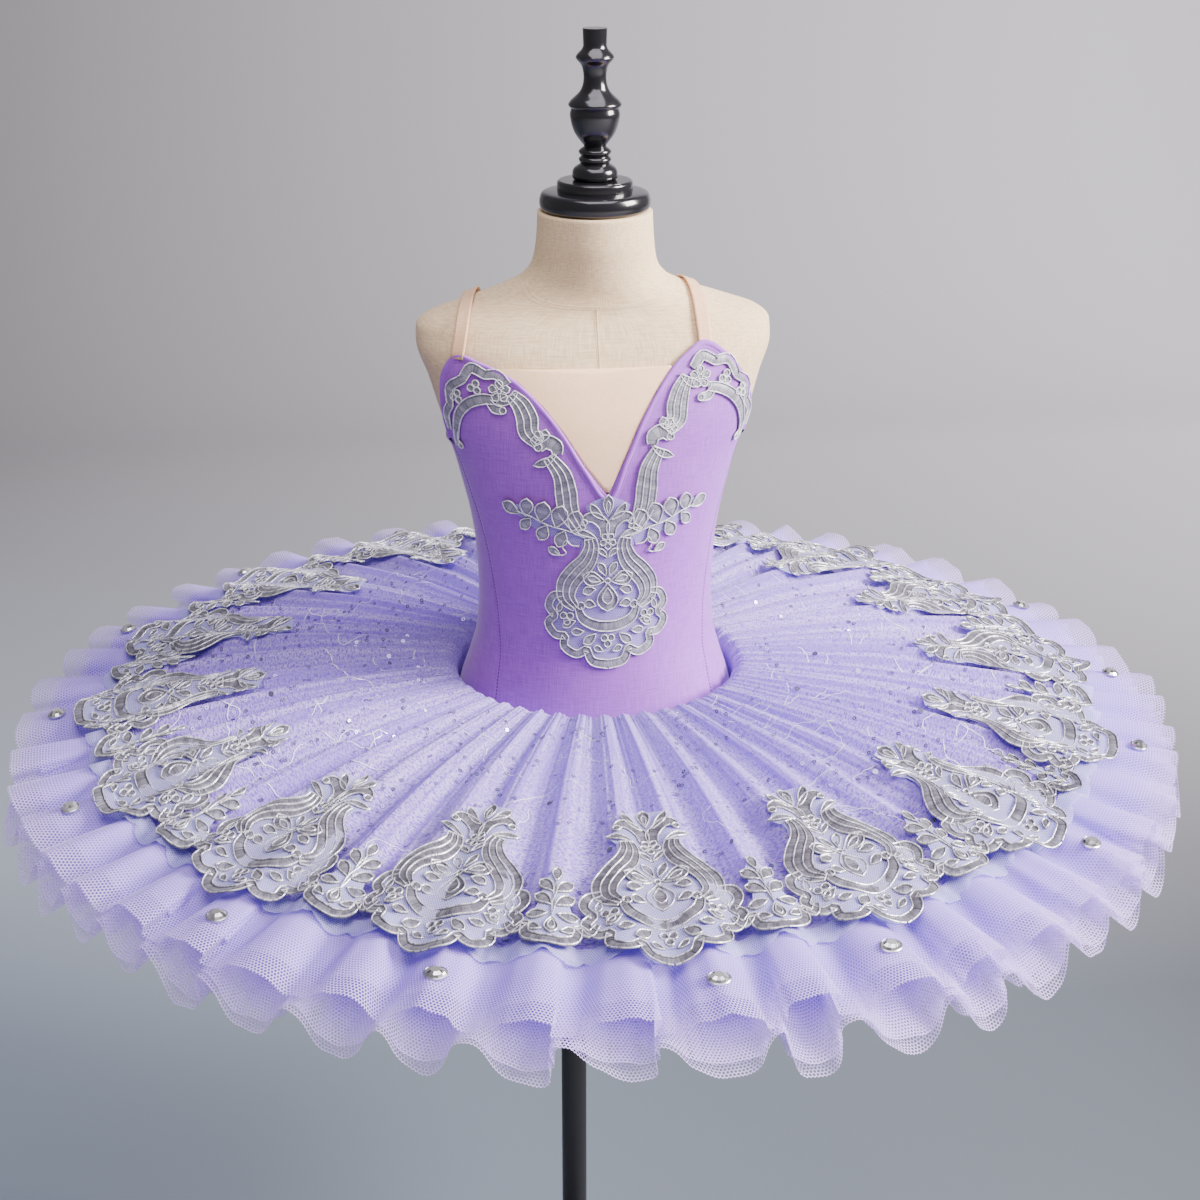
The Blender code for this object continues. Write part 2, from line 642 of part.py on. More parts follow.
def build_layer(name, rings, finish):
    points, faces = [], []
    starts, counts = [], []
    for number, ring in enumerate(rings):
        starts.append(len(points))
        points += ring_points(ring, number == 0)
        counts.append(WAVES * ring[3])
    for i in range(len(rings) - 1):
        faces += between_rings(starts[i], starts[i + 1], counts[i], counts[i + 1])
    add_object(name, points, faces, finish, NET_WALL, 0.0)


def build_skirt():
    build_layer("skirt_overlay", OVERLAY_RINGS, "lilac_net")
    for number, rings in enumerate(RUFFLE_RINGS):
        build_layer("ruffle_%d" % (number + 1), rings, "lilac_net")


# ---------------------------------------------------------------- lace and stones
def inside_outline(spot, outline):
    """Even-odd test of a flat point against a closed outline."""
    inside = False
    for (ax, ay), (bx, by) in zip(outline, outline[1:] + outline[:1]):
        if (ay > spot[1]) != (by > spot[1]):
            if spot[0] < ax + (bx - ax) * (spot[1] - ay) / (by - ay):
                inside = not inside
    return inside


def lace_plate(name, outline, gaps, place, fill_step=0.0):
    """Flat lace with its gaps cut through, laid on a surface by the function place."""
    loops = [list(outline)] + [list(gap) for gap in gaps]
    flat, edges = [], []
    for loop in loops:
        first = len(flat)
        flat += loop
        edges += [(first + i, first + (i + 1) % len(loop)) for i in range(len(loop))]
    if fill_step:
        across = [spot[0] for spot in outline]
        along = [spot[1] for spot in outline]
        for x in np.arange(min(across), max(across), fill_step):
            for y in np.arange(min(along), max(along), fill_step):
                near = min(math.hypot(x - spot[0], y - spot[1]) for spot in flat)
                if near > 0.45 * fill_step and inside_outline((x, y), loops[0]):
                    flat.append((float(x), float(y)))
    result = delaunay_2d_cdt([Vector(spot) for spot in flat], edges, [], 0, 1e-6)
    corners, triangles = result[0], result[2]
    faces = []
    for triangle in triangles:
        middle = sum((corners[i] for i in triangle), Vector((0.0, 0.0))) / 3
        if not inside_outline(middle, loops[0]):
            continue
        if any(inside_outline(middle, gap) for gap in loops[1:]):
            continue
        faces.append(tuple(triangle))
    used = sorted({i for face in faces for i in face})
    fresh = {old: new for new, old in enumerate(used)}
    points = [place(corners[i].x, corners[i].y) for i in used]
    faces = [tuple(fresh[i] for i in face) for face in faces]
    add_object(name, points, faces, "silver_lace", LACE_WALL, 1.0)


def mirrored(half):
    """A closed outline from its right half, top to bottom."""
    left = [(-x, y) for x, y in reversed(half) if x > 0]
    return list(half) + left


def in_metres(spots, scale=1.0):
    return [(x * 0.001 * scale, y * 0.001 * scale) for x, y in spots]


def motif_shape(scale):
    outline = in_metres(mirrored(MOTIF_OUTLINE), scale)
    gaps = [in_metres(gap, scale) for gap in MOTIF_GAPS]
    gaps += [[(-x, y) for x, y in reversed(gap)] for gap in gaps]
    gaps.append(in_metres(MOTIF_MIDDLE_GAP, scale))
    return outline, gaps


def crest_level(radius, crest):
    """Level just above a crest of the overlay, and of the ruffle past the overlay's edge."""
    overlay_level, overlay_wave = skirt_level(OVERLAY_RINGS, radius)
    top = overlay_level + overlay_wave * crest
    if radius > OVERLAY_RINGS[-1][0]:
        ruffle_level, ruffle_wave = skirt_level(RUFFLE_RINGS[0], radius)
        past_edge = radius - OVERLAY_RINGS[-1][0]
        top = max(top - 0.12 * past_edge, ruffle_level + ruffle_wave * crest)
    return top + NET_WALL * 0.6 + SKIRT_LACE_GAP


def highest_crest(middle, spread_angle):
    """The largest crest height among the waves near an angle."""
    near = [CRESTS[i] for i in range(WAVES)
            if abs((WAVE_STARTS[i] - middle + 180) % 360 - 180) < spread_angle]
    return max(near)


def build_skirt_lace():
    outline, gaps = motif_shape(1.0)
    outline = [(-x, y) for x, y in reversed(outline)]
    for number in range(MOTIFS):
        middle = 360.0 * number / MOTIFS
        crest = highest_crest(middle, MOTIF_SPREAD)

        def on_skirt(across, along, middle=middle, crest=crest):
            radius = MOTIF_INNER_RADIUS + along
            angle = middle + math.degrees(across / radius)
            return round_point(angle, radius, crest_level(radius, crest))

        lace_plate("skirt_lace_%02d" % (number + 1), outline, gaps, on_skirt)


def build_stones():
    # The ruffle's crest runs from one point of its last but one ring to two of the edge's.
    last_rings = RUFFLE_RINGS[0][-2:]
    crest_radii = [ring[0] for ring in last_rings]
    edge_share = math.cos(2 * math.pi * RING_SHARES[4][1])
    crest_heights = (last_rings[0][2], last_rings[1][2] * edge_share)
    for number in range(MOTIFS):
        middle = 360.0 * number / MOTIFS
        index = min(range(WAVES), key=lambda i: abs((WAVE_STARTS[i] - middle + 180) % 360 - 180))
        angle = WAVE_STARTS[index]
        spots = []
        for radius in (STONE_RING_RADIUS - 0.004, STONE_RING_RADIUS + 0.004):
            height = float(np.interp(radius, crest_radii, crest_heights)) * CRESTS[index]
            level = skirt_level(RUFFLE_RINGS[0], radius)[0]
            spots.append(round_point(angle, radius, level + height))
        outward = (spots[1] - spots[0]).normalized()
        sideways = Vector((0, 0, 1)).cross(outward).normalized()
        upward = outward.cross(sideways)
        foot = (spots[0] + spots[1]) / 2 + upward * (NET_WALL + TOUCHING_GAP)
        placed = Matrix((outward, sideways, upward)).transposed().to_4x4()
        placed.translation = foot
        rows = ((STONE_RADIUS * 0.8, 0.0), (STONE_RADIUS, 0.0010), (STONE_RADIUS * 0.55, 0.0030))
        turned("stone_%02d" % (number + 1), rows, 8, "stone", placed=placed)


def band_outline(path, half_width, scallop, span=(0.0, 1.0), stations=10):
    """Both edges of a band that follows a path, as one closed outline."""
    steps = [math.hypot(b[0] - a[0], b[1] - a[1]) for a, b in zip(path, path[1:])]
    lengths = np.concatenate(([0.0], np.cumsum(steps))) / sum(steps)
    near, far = [], []
    for station in range(stations + 1):
        share = span[0] + (span[1] - span[0]) * station / stations
        spots = [Vector((float(np.interp(at, lengths, [spot[0] for spot in path])),
                         float(np.interp(at, lengths, [spot[1] for spot in path]))))
                 for at in (share - 0.06, share, share + 0.06)]
        run = (spots[2] - spots[0]).normalized()
        width = half_width + scallop * math.cos(6 * math.pi * share)
        if station in (0, stations):
            width *= 0.55
        across = Vector((-run.y, run.x)) * width
        near.append(tuple(spots[1] + across))
        far.append(tuple(spots[1] - across))
    outline = near + far[::-1]
    area = sum(a[0] * b[1] - b[0] * a[1] for a, b in zip(outline, outline[1:] + outline[:1]))
    return outline if area > 0 else outline[::-1]


def build_bodice_lace():
    lifted = BODICE_STAND_OFF + CLOTH_WALL + BODICE_LACE_GAP

    def on_bodice(arc, level):
        return form_point(girth_angle(arc, level), level, lifted)

    def crest_on_bodice(across, down):
        level = BODICE_CREST_TOP - down
        return form_point(girth_angle(-across, level), level, lifted + BODICE_CREST_LIFT)

    outline, gaps = motif_shape(BODICE_CREST_SCALE)
    right_half = in_metres(MOTIF_OUTLINE, BODICE_CREST_SCALE)
    merged = right_half[:3] + in_metres(SPRAY, BODICE_CREST_SCALE) + right_half[5:]
    lace_plate("bodice_lace_crest", mirrored(merged), gaps, crest_on_bodice,
               CREST_FILL_STEP)
    for name, path in BAND_PATHS.items():
        outline = band_outline(path, BAND_HALF_WIDTH, BAND_SCALLOP)
        gaps = []
        if "cup" in name:
            gaps = [band_outline(path, CUP_GAP_HALF_WIDTH, 0.0, span, 3) for span in CUP_GAPS]
        lace_plate(name, outline, gaps, on_bodice)


build_stand()
build_form()
build_bodice()
build_straps()
build_panty()
build_skirt()
build_skirt_lace()
build_stones()
build_bodice_lace()
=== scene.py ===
import math
import random

import bpy
import numpy as np
from mathutils import Matrix, Vector


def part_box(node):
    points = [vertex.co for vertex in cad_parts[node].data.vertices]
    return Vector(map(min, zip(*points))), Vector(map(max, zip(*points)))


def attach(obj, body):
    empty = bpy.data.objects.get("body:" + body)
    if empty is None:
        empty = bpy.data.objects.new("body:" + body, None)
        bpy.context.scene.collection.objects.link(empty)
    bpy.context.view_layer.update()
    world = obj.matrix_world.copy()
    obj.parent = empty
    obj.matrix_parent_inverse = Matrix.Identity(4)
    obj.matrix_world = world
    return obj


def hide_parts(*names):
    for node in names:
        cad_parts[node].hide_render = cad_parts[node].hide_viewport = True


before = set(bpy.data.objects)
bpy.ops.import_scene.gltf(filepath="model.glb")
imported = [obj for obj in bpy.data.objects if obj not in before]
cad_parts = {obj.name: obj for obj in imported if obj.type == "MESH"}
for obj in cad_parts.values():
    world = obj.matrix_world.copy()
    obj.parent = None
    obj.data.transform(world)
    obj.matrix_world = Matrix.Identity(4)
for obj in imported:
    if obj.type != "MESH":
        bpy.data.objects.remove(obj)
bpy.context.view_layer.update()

# ------------------------------------------------------------------ camera, lamps and backdrop
# The garment is seen from a little above its own height, nearly head on, in a plain studio. One
# large soft lamp stands high on the right and a weaker one hangs overhead. A roll of grey paper
# covers the floor and sweeps up behind.
VIEW_TURN, VIEW_PITCH = math.radians(-7.0), math.radians(21.4)
VIEW_DISTANCE, VIEW_HEIGHT = 1.52, 1.307
LENS, SENSOR = 63.0, 36.0
SHIFT_TO_AXIS = 5.0 / 1200.0  # the stand is that little to the left of the frame's middle

camera_data = bpy.data.cameras.new("camera")
camera_data.lens = LENS
camera_data.sensor_width = SENSOR
camera_data.shift_x = SHIFT_TO_AXIS
camera = bpy.data.objects.new("camera", camera_data)
camera.location = (VIEW_DISTANCE * math.sin(VIEW_TURN), -VIEW_DISTANCE * math.cos(VIEW_TURN),
                   VIEW_HEIGHT)
camera.rotation_euler = (math.radians(90.0) - VIEW_PITCH, 0.0, VIEW_TURN)
bpy.context.collection.objects.link(camera)
bpy.context.scene.camera = camera


def linear(hex_colour):
    """An sRGB hex colour as linear RGBA."""
    values = [int(hex_colour[i:i + 2], 16) / 255 for i in (1, 3, 5)]
    return [v / 12.92 if v <= 0.04045 else ((v + 0.055) / 1.055) ** 2.4 for v in values] + [1.0]


def set_inputs(node, inputs):
    """Values, hex colours or links for a node's inputs; a node gives its first live output."""
    for name, value in inputs.items():
        if isinstance(value, bpy.types.Node):
            value = next(socket for socket in value.outputs if socket.enabled)
        if isinstance(value, bpy.types.NodeSocket):
            node.id_data.links.new(value, node.inputs[name])
        else:
            node.inputs[name].default_value = linear(value) if isinstance(value, str) else value
    return node


def add_node(tree, kind, inputs, **settings):
    """A shader node with its settings and its inputs' values or links."""
    made = tree.nodes.new("ShaderNode" + kind)
    for name, value in settings.items():
        setattr(made, name, value)
    return set_inputs(made, inputs)


def new_finish(name, colour, roughness, metallic=0.0, **sockets):
    """A Principled material; sockets are its other inputs, with _ for a space."""
    made = bpy.data.materials.new(name)
    made.use_nodes = True
    shader = made.node_tree.nodes["Principled BSDF"]
    set_inputs(shader, {"Base Color": colour, "Roughness": roughness, "Metallic": metallic})
    set_inputs(shader, {socket.replace("_", " "): value for socket, value in sockets.items()})
    return made, made.node_tree, shader


for name, place, target_height, size, watts, colour in (
        ("key_softbox", (2.98, -0.82, 2.36), 0.75, 1.5, 610.0, "#fffaf6"),
        ("top_softbox", (0.1, -0.8, 3.1), 0.65, 2.2, 92.0, "#fbf6ff")):
    lamp_data = bpy.data.lights.new(name, "AREA")
    lamp_data.shape = "RECTANGLE"
    lamp_data.size = lamp_data.size_y = size
    lamp_data.energy = watts
    lamp_data.color = linear(colour)[:3]
    lamp = bpy.data.objects.new(name, lamp_data)
    lamp.location = place
    lamp_run = Vector((0.0, 0.0, target_height)) - Vector(place)
    lamp.rotation_euler = lamp_run.to_track_quat("-Z", "Y").to_euler()
    lamp.visible_camera = False
    bpy.context.collection.objects.link(lamp)

world = bpy.data.worlds.new("studio")
world.use_nodes = True
set_inputs(world.node_tree.nodes["Background"], {"Color": "#d9d5da", "Strength": 0.40})
bpy.context.scene.world = world

# Backdrop paper: floor, sweep and wall in one strip.
PAPER_FRONT, PAPER_BACK, PAPER_TOP = -9.0, 4.0, 4.0
PAPER_HALF_WIDTH = 4.5
SWEEP_RADIUS, SWEEP_STEPS = 1.2, 24
sweep_start = PAPER_BACK - SWEEP_RADIUS
paper_profile = [(PAPER_FRONT, 0.0), (0.0, 0.0), (sweep_start, 0.0)]
for step in range(1, SWEEP_STEPS + 1):
    turn = math.radians(90.0 * step / SWEEP_STEPS)
    paper_profile.append((sweep_start + SWEEP_RADIUS * math.sin(turn),
                          SWEEP_RADIUS - SWEEP_RADIUS * math.cos(turn)))
paper_profile.append((PAPER_BACK, PAPER_TOP))
paper_mesh = bpy.data.meshes.new("backdrop")
paper_mesh.from_pydata(
    [(side * PAPER_HALF_WIDTH, y, z) for y, z in paper_profile for side in (-1, 1)], [],
    [(2 * i, 2 * i + 1, 2 * i + 3, 2 * i + 2) for i in range(len(paper_profile) - 1)])
paper_mesh.shade_smooth()
paper = bpy.data.objects.new("backdrop", paper_mesh)
bpy.context.collection.objects.link(paper)
# Matt paper with light and shade painted into its colour: the wall is painted paler on the lamp's
# side, and the floor is cooler, painted darker under the lamp, where more light falls, and paler
# again towards the front.
paper_finish, tree, shader = new_finish("matt_backdrop_paper_painted_light", "#9c9ca2", 0.9)
object_place = add_node(tree, "TexCoord", {}).outputs["Object"]
paper_place = add_node(tree, "SeparateXYZ", {0: object_place}).outputs
to_lamp, to_floor, to_lamp_below, to_front = (
    add_node(tree, "MapRange", {"Value": paper_place[axis], "From Min": start, "From Max": end})
    for axis, start, end in ((0, -1.0, 1.8), (1, 2.6, 0.5), (0, -0.8, 0.9), (1, -0.2, -2.6)))
# Painted light: the wall's colour runs from dark away from the lamp to pale beside it.
wall = add_node(tree, "Mix", {0: to_lamp, 6: "#848388", 7: "#c3c2c9"}, data_type="RGBA")
floor_painted_light = add_node(tree, "Mix", {0: to_lamp_below, 6: "#7d8997", 7: "#3a3d44"}, data_type="RGBA")
floor_painted_light = add_node(tree, "Mix", {0: to_front, 6: floor_painted_light, 7: "#c9c9cd"}, data_type="RGBA")
both = add_node(tree, "Mix", {0: to_floor, 6: wall, 7: floor_painted_light}, data_type="RGBA")
set_inputs(shader, {"Base Color": both})
paper_mesh.materials.append(paper_finish)


# ------------------------------------------------------------------ stand
# A round steel foot, a tapered collar and a straight tube, all powder-coated satin black. The
# tube slides into the form and is clamped inside it.
MERGE_DISTANCE = 0.00002
BEVEL_OVER, SMOOTH_UNDER = math.radians(35), math.radians(38)


def turn_on_lathe(name, profile, centre, finish, segments=64, bevel=0.0):
    """A turned piece: one point is drawn along the profile and spun once round the axis."""
    bpy.ops.object.select_all(action="DESELECT")
    bpy.ops.mesh.primitive_plane_add(size=0.01, location=(0.0, 0.0, 0.0))
    made = bpy.context.object
    made.name = name
    made.data.name = name
    bpy.ops.object.mode_set(mode="EDIT")
    bpy.ops.mesh.merge(type="CENTER")
    radius, height = profile[0]
    bpy.ops.transform.translate(value=(centre[0] + radius, centre[1], height))
    for (r0, h0), (r1, h1) in zip(profile, profile[1:]):
        bpy.ops.mesh.extrude_vertices_move(
            TRANSFORM_OT_translate={"value": (r1 - r0, 0.0, h1 - h0)})
    bpy.ops.mesh.select_all(action="SELECT")
    bpy.ops.mesh.spin(steps=segments, angle=2 * math.pi, center=(centre[0], centre[1], 0.0),
                      axis=(0.0, 0.0, 1.0))
    bpy.ops.mesh.select_all(action="SELECT")
    bpy.ops.mesh.remove_doubles(threshold=MERGE_DISTANCE)
    bpy.ops.mesh.normals_make_consistent(inside=False)
    bpy.ops.object.mode_set(mode="OBJECT")
    if bevel:
        rounding = made.modifiers.new("rounding", "BEVEL")
        rounding.width = bevel
        rounding.segments = 2
        rounding.limit_method = "ANGLE"
        rounding.angle_limit = BEVEL_OVER
        bpy.ops.object.modifier_apply(modifier="rounding")
    bpy.ops.object.shade_smooth_by_angle(angle=SMOOTH_UNDER)
    made.data.materials.append(finish)
    return made


def settle(piece, slot, *nodes):
    """The piece rides on the one body and hides the CAD nodes that it stands for; slot is not
    used.
    """
    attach(piece, "root")
    if nodes:
        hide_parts(*nodes)


# Powder coat: a fine orange-peel skin that spreads highlights into soft streaks.
PEEL_SIZE, PEEL_DEPTH, PEEL_STRENGTH = 0.0012, 0.00006, 0.5
powder_coat, tree, shader = new_finish("satin_black_powder_coat", "#111014", 0.48,
                                       Coat_Weight=0.08, Coat_Roughness=0.3)
object_place = add_node(tree, "TexCoord", {}).outputs["Object"]
peel = add_node(tree, "TexNoise", {"Vector": object_place, "Scale": 1 / PEEL_SIZE, "Detail": 2.0})
set_inputs(shader, {"Normal": add_node(tree, "Bump", {"Height": peel, "Distance": PEEL_DEPTH,
                                                      "Strength": PEEL_STRENGTH})})
FOOT_SHOULDER, FOOT_INSET = 0.7, 0.004  # share of the foot's height, and how far its top draws in
COLLAR_RIM, COLLAR_SHOULDER = 0.006, 0.030
COLLAR_INSET, COLLAR_NECK = 0.0065, 0.0080
pole_low, pole_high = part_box("pole")
pole_centre = ((pole_low[0] + pole_high[0]) / 2, (pole_low[1] + pole_high[1]) / 2)
for name, node, outline, segments, bevel in (
        ("foot_plate", "base_plate", lambda r, low, top: [
            (r, low), (r, top * FOOT_SHOULDER), (r - FOOT_INSET, top)], 96, 0.0012),
        ("pole_collar", "base_collar", lambda r, low, top: [
            (r, low), (r, low + COLLAR_RIM), (r - COLLAR_INSET, COLLAR_SHOULDER),
            (r - COLLAR_NECK, top)], 64, 0.001),
        ("pole_tube", "pole", lambda r, low, top: [(r, low), (r, top)], 48, 0.0006)):
    low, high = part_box(node)
    profile = outline((high[0] - low[0]) / 2, low[2], high[2])
    piece = turn_on_lathe(name, [(0.0, low[2])] + profile + [(0.0, high[2])], pole_centre,
                          powder_coat, segments, bevel)
    settle(piece, "stand_metal", node)

# ------------------------------------------------------------------ padded form
# A moulded torso under a thin padding, covered in natural plain-woven linen. The cover is cut
# in front, back and neck parts, seamed at the centre front, the sides, the shoulders and round
# the foot of the neck.
OPENING_HEIGHT = 0.665        # level 0: the skirt's round opening, above the floor
# level, half width, half depth, centre in depth, squareness of the section
FORM_SECTIONS = np.array((
    (-0.165, 0.1000, 0.0825, 0.004, 2.30), (-0.158, 0.1035, 0.0855, 0.004, 2.30),
    (-0.135, 0.1070, 0.0882, 0.004, 2.30), (-0.085, 0.1100, 0.0905, 0.004, 2.30),
    (-0.050, 0.1085, 0.0885, 0.003, 2.25), (-0.017, 0.1030, 0.0840, 0.002, 2.20),
    (0.005, 0.0960, 0.0795, 0.001, 2.15), (0.030, 0.0895, 0.0750, 0.000, 2.10),
    (0.062, 0.0875, 0.0725, 0.000, 2.10), (0.099, 0.0892, 0.0735, 0.001, 2.15),
    (0.125, 0.0928, 0.0755, 0.002, 2.20), (0.152, 0.0990, 0.0775, 0.003, 2.25),
    (0.175, 0.1050, 0.0785, 0.004, 2.30), (0.201, 0.1150, 0.0770, 0.005, 2.40),
    (0.231, 0.1240, 0.0715, 0.007, 2.50), (0.256, 0.1320, 0.0630, 0.009, 2.50),
    (0.267, 0.1315, 0.0570, 0.010, 2.40), (0.274, 0.1240, 0.0525, 0.010, 2.30),
    (0.281, 0.1045, 0.0490, 0.010, 2.20), (0.292, 0.0720, 0.0470, 0.009, 2.10),
    (0.303, 0.0520, 0.0455, 0.006, 2.00), (0.314, 0.0455, 0.0440, 0.003, 2.00),
    (0.332, 0.0428, 0.0425, 0.000, 2.00), (0.350, 0.0418, 0.0415, 0.000, 2.00),
))
FORM_BOTTOM, FORM_TOP = FORM_SECTIONS[0, 0], FORM_SECTIONS[-1, 0]


def smooth_rows(rows, at):
    """A table's other columns at values of its first, by a cubic that never overshoots."""
    levels, values = rows[:, 0], rows[:, 1:]
    steps = np.diff(levels)[:, None]
    slopes = np.diff(values, axis=0) / steps
    before, after = 2 * steps[1:] + steps[:-1], steps[1:] + 2 * steps[:-1]
    tangents = np.zeros_like(values)
    tangents[0], tangents[-1] = slopes[0], slopes[-1]
    with np.errstate(divide="ignore", invalid="ignore"):
        mean = (before + after) / (before / slopes[:-1] + after / slopes[1:])
    tangents[1:-1] = np.where(slopes[:-1] * slopes[1:] > 0, mean, 0.0)
    i = np.clip(np.searchsorted(levels, at) - 1, 0, len(steps) - 1)
    t = ((at - levels[i]) / steps[i, 0])[:, None]
    return ((2 * t**3 - 3 * t**2 + 1) * values[i] + (t**3 - 2 * t**2 + t) * steps[i] * tangents[i]
            + (3 * t**2 - 2 * t**3) * values[i + 1] + (t**3 - t**2) * steps[i] * tangents[i + 1])


dense_levels = np.linspace(FORM_BOTTOM, FORM_TOP, 1031)  # every half millimetre
dense_sections = smooth_rows(FORM_SECTIONS, dense_levels)


def form_section(level):
    """Half width, half depth, centre and squareness at levels."""
    return [np.interp(level, dense_levels, column) for column in dense_sections.T]


def on_section(angle, level):
    """Points on the form's surface at degrees from the centre front and levels."""
    angle, level = np.broadcast_arrays(angle, level)
    half_width, half_depth, centre, power = form_section(level)
    sine, cosine = np.sin(np.radians(angle)), np.cos(np.radians(angle))
    return np.stack([half_width * np.sign(sine) * np.abs(sine) ** (2 / power),
                     centre - half_depth * np.sign(cosine) * np.abs(cosine) ** (2 / power),
                     OPENING_HEIGHT + level], -1)


def unit(vectors):
    """The same directions with length one."""
    return vectors / np.maximum(np.linalg.norm(vectors, axis=-1, keepdims=True), 1e-9)


TURN_STEP, LEVEL_STEP = 1.0, 0.0015  # over which the surface's slope is taken


def on_form(angle, level, stand_off=0.0):
    """Points on the form, moved straight out from it by a distance."""
    angle, level, stand_off = np.broadcast_arrays(
        *(np.asarray(value, float) for value in (angle, level, stand_off)))
    along = on_section(angle + TURN_STEP, level) - on_section(angle - TURN_STEP, level)
    upward = (on_section(angle, np.minimum(level + LEVEL_STEP, FORM_TOP))
              - on_section(angle, np.maximum(level - LEVEL_STEP, FORM_BOTTOM)))
    return on_section(angle, level) + unit(np.cross(along, upward)) * stand_off[..., None]


# Arc lengths from the centre front to every degree, at rows of levels.
ARC_ROWS, ARC_STEPS = 300, 180
arc_levels = np.linspace(FORM_BOTTOM, FORM_TOP, ARC_ROWS)
arc_corners = on_section(np.arange(ARC_STEPS + 1.0)[None, :], arc_levels[:, None])
arc_lengths = np.pad(np.cumsum(np.linalg.norm(np.diff(arc_corners, axis=1), axis=2), 1),
                     ((0, 0), (1, 0)))


def girth_angle(arc, level):
    """The angles that lie an arc length from the centre front, along the section."""
    arc, level = np.broadcast_arrays(np.asarray(arc, float), np.asarray(level, float))
    row = (level.ravel() - FORM_BOTTOM) / (arc_levels[1] - arc_levels[0])
    low = np.clip(row.astype(int), 0, ARC_ROWS - 2)
    part = (row - low)[:, None]
    lengths = arc_lengths[low] * (1 - part) + arc_lengths[low + 1] * part
    past_back = arc.ravel() > lengths[:, -1]
    flat_arc = np.where(past_back, 2 * lengths[:, -1] - arc.ravel(), np.abs(arc.ravel()))
    step = np.clip((lengths < flat_arc[:, None]).sum(1) - 1, 0, ARC_STEPS - 1)
    each = np.arange(len(step))
    span = lengths[each, step + 1] - lengths[each, step]
    angle = step + (flat_arc - lengths[each, step]) / span
    angle = np.where(past_back, 360.0 - angle, np.copysign(angle, arc.ravel()))
    return angle.reshape(arc.shape)


def run_lengths(points):
    """How far each point, or each row of a grid on average, is along from the first."""
    steps = np.linalg.norm(np.diff(points, axis=0), axis=-1)
    return np.pad(np.cumsum(steps.reshape(len(steps), -1).mean(1)), (1, 0))


def crossed(across, along):
    """A grid of (across, along) with a row for each value of along."""
    return np.stack(np.broadcast_arrays(np.array(across)[None, :], np.array(along)[:, None]), -1)


def corners_of(grid):
    """The four corners of each face of a grid, in order round it."""
    return np.stack([grid[:-1, :-1], grid[:-1, 1:], grid[1:, 1:], grid[1:, :-1]], 2)


def cloth_piece(name, points, faces, flat, finishes, kinds=0, wall=0.0, side=1.0):
    """An object of cloth; flat gives each corner its flat coordinates, in metres.

    kinds picks each face's finish; wall gives the cloth a thickness towards side.
    """
    mesh = bpy.data.meshes.new(name)
    mesh.from_pydata(points.tolist(), [], faces.tolist())
    if flat is not None:
        mesh.uv_layers.new(name="cloth").data.foreach_set("uv", flat.ravel())
    for finish in finishes:
        mesh.materials.append(finish)
    mesh.polygons.foreach_set("material_index", np.broadcast_to(kinds, len(faces)))
    mesh.shade_smooth()
    made = bpy.data.objects.new(name, mesh)
    bpy.context.collection.objects.link(made)
    if wall:
        thickness = made.modifiers.new("wall", "SOLIDIFY")
        thickness.thickness = wall
        thickness.offset = side
        thickness.use_even_offset = True
    return made


def sheet_mesh(name, points, uvs, finish, closed=False, wall=0.0, side=1.0):
    """Cloth from a grid of points, rows by columns; closed joins its last column to the first."""
    rows, columns = uvs.shape[:2]
    count = columns - 1 if closed else columns
    index = np.arange(rows)[:, None] * count + np.arange(columns)[None, :] % count
    return cloth_piece(name, points[:, :count].reshape(-1, 3), corners_of(index).reshape(-1, 4),
                       corners_of(uvs), [finish], wall=wall, side=side)


def on_cloth(tree, across, along):
    """A piece's own flat coordinates, divided by a pattern's real size each way."""
    place = add_node(tree, "UVMap", {}, uv_map="cloth")
    return add_node(tree, "VectorMath", {0: place, 1: (1 / across, 1 / along, 1.0)},
                    operation="MULTIPLY")


NOISE_DARK, NOISE_PALE = 0.38, 0.62  # the noise that shows as the dark and as the pale colour


def woven_finish(name, colour, dark, roughness, thread, slub, depth, **sockets):
    """Plain or knitted cloth: threads both ways, slubs along each, and a soft mottle."""
    made, tree, shader = new_finish(name, colour, roughness, **sockets)
    weft, warp = (add_node(tree, "TexNoise", {"Vector": on_cloth(tree, across, along),
                                              "Scale": 1.0, "Detail": 2.0})
                  for across, along in ((slub, thread), (thread, slub)))
    warp = add_node(tree, "Math", {0: warp, 1: 0.5}, operation="MULTIPLY")
    both = add_node(tree, "Math", {0: weft, 1: 0.5, 2: warp}, operation="MULTIPLY_ADD")
    shade = add_node(tree, "MapRange", {"Value": both, "From Min": NOISE_DARK,
                                         "From Max": NOISE_PALE})
    set_inputs(shader, {
        "Base Color": add_node(tree, "Mix", {0: shade, 6: dark, 7: colour}, data_type="RGBA"),
        "Normal": add_node(tree, "Bump", {"Height": both, "Distance": depth})})
    return made


# Natural linen: matt, with thick and thin threads both ways. The threads are drawn 0.9 mm
# apart, twice their real spacing, so that they show.
LINEN_THREAD, LINEN_SLUB, LINEN_DEPTH = 0.0009, 0.011, 0.00018
linen = woven_finish("natural_plain_weave_linen", "#e4caa4", "#c9ab82", 0.92, LINEN_THREAD,
                     LINEN_SLUB, LINEN_DEPTH, Sheen_Weight=0.12, Sheen_Roughness=0.6)

HALF_GIRTH = 0.29             # of the cover laid flat
form_angles = np.linspace(-180.0, 180.0, 121)
# Levels lie closer together over the shoulders and the neck.
form_levels = np.concatenate([[FORM_BOTTOM], np.linspace(-0.160, 0.240, 56),
                              np.linspace(0.243, 0.3495, 54)])
form_points = on_form(form_angles[None, :], form_levels[:, None])


def drawn_in(edge, shares, level):
    """Rows that draw the cover in over a flat end, at shares of its edge's size."""
    return [edge * (share, share, 0.0) + (0.0, 0.0, OPENING_HEIGHT + level) for share in shares]


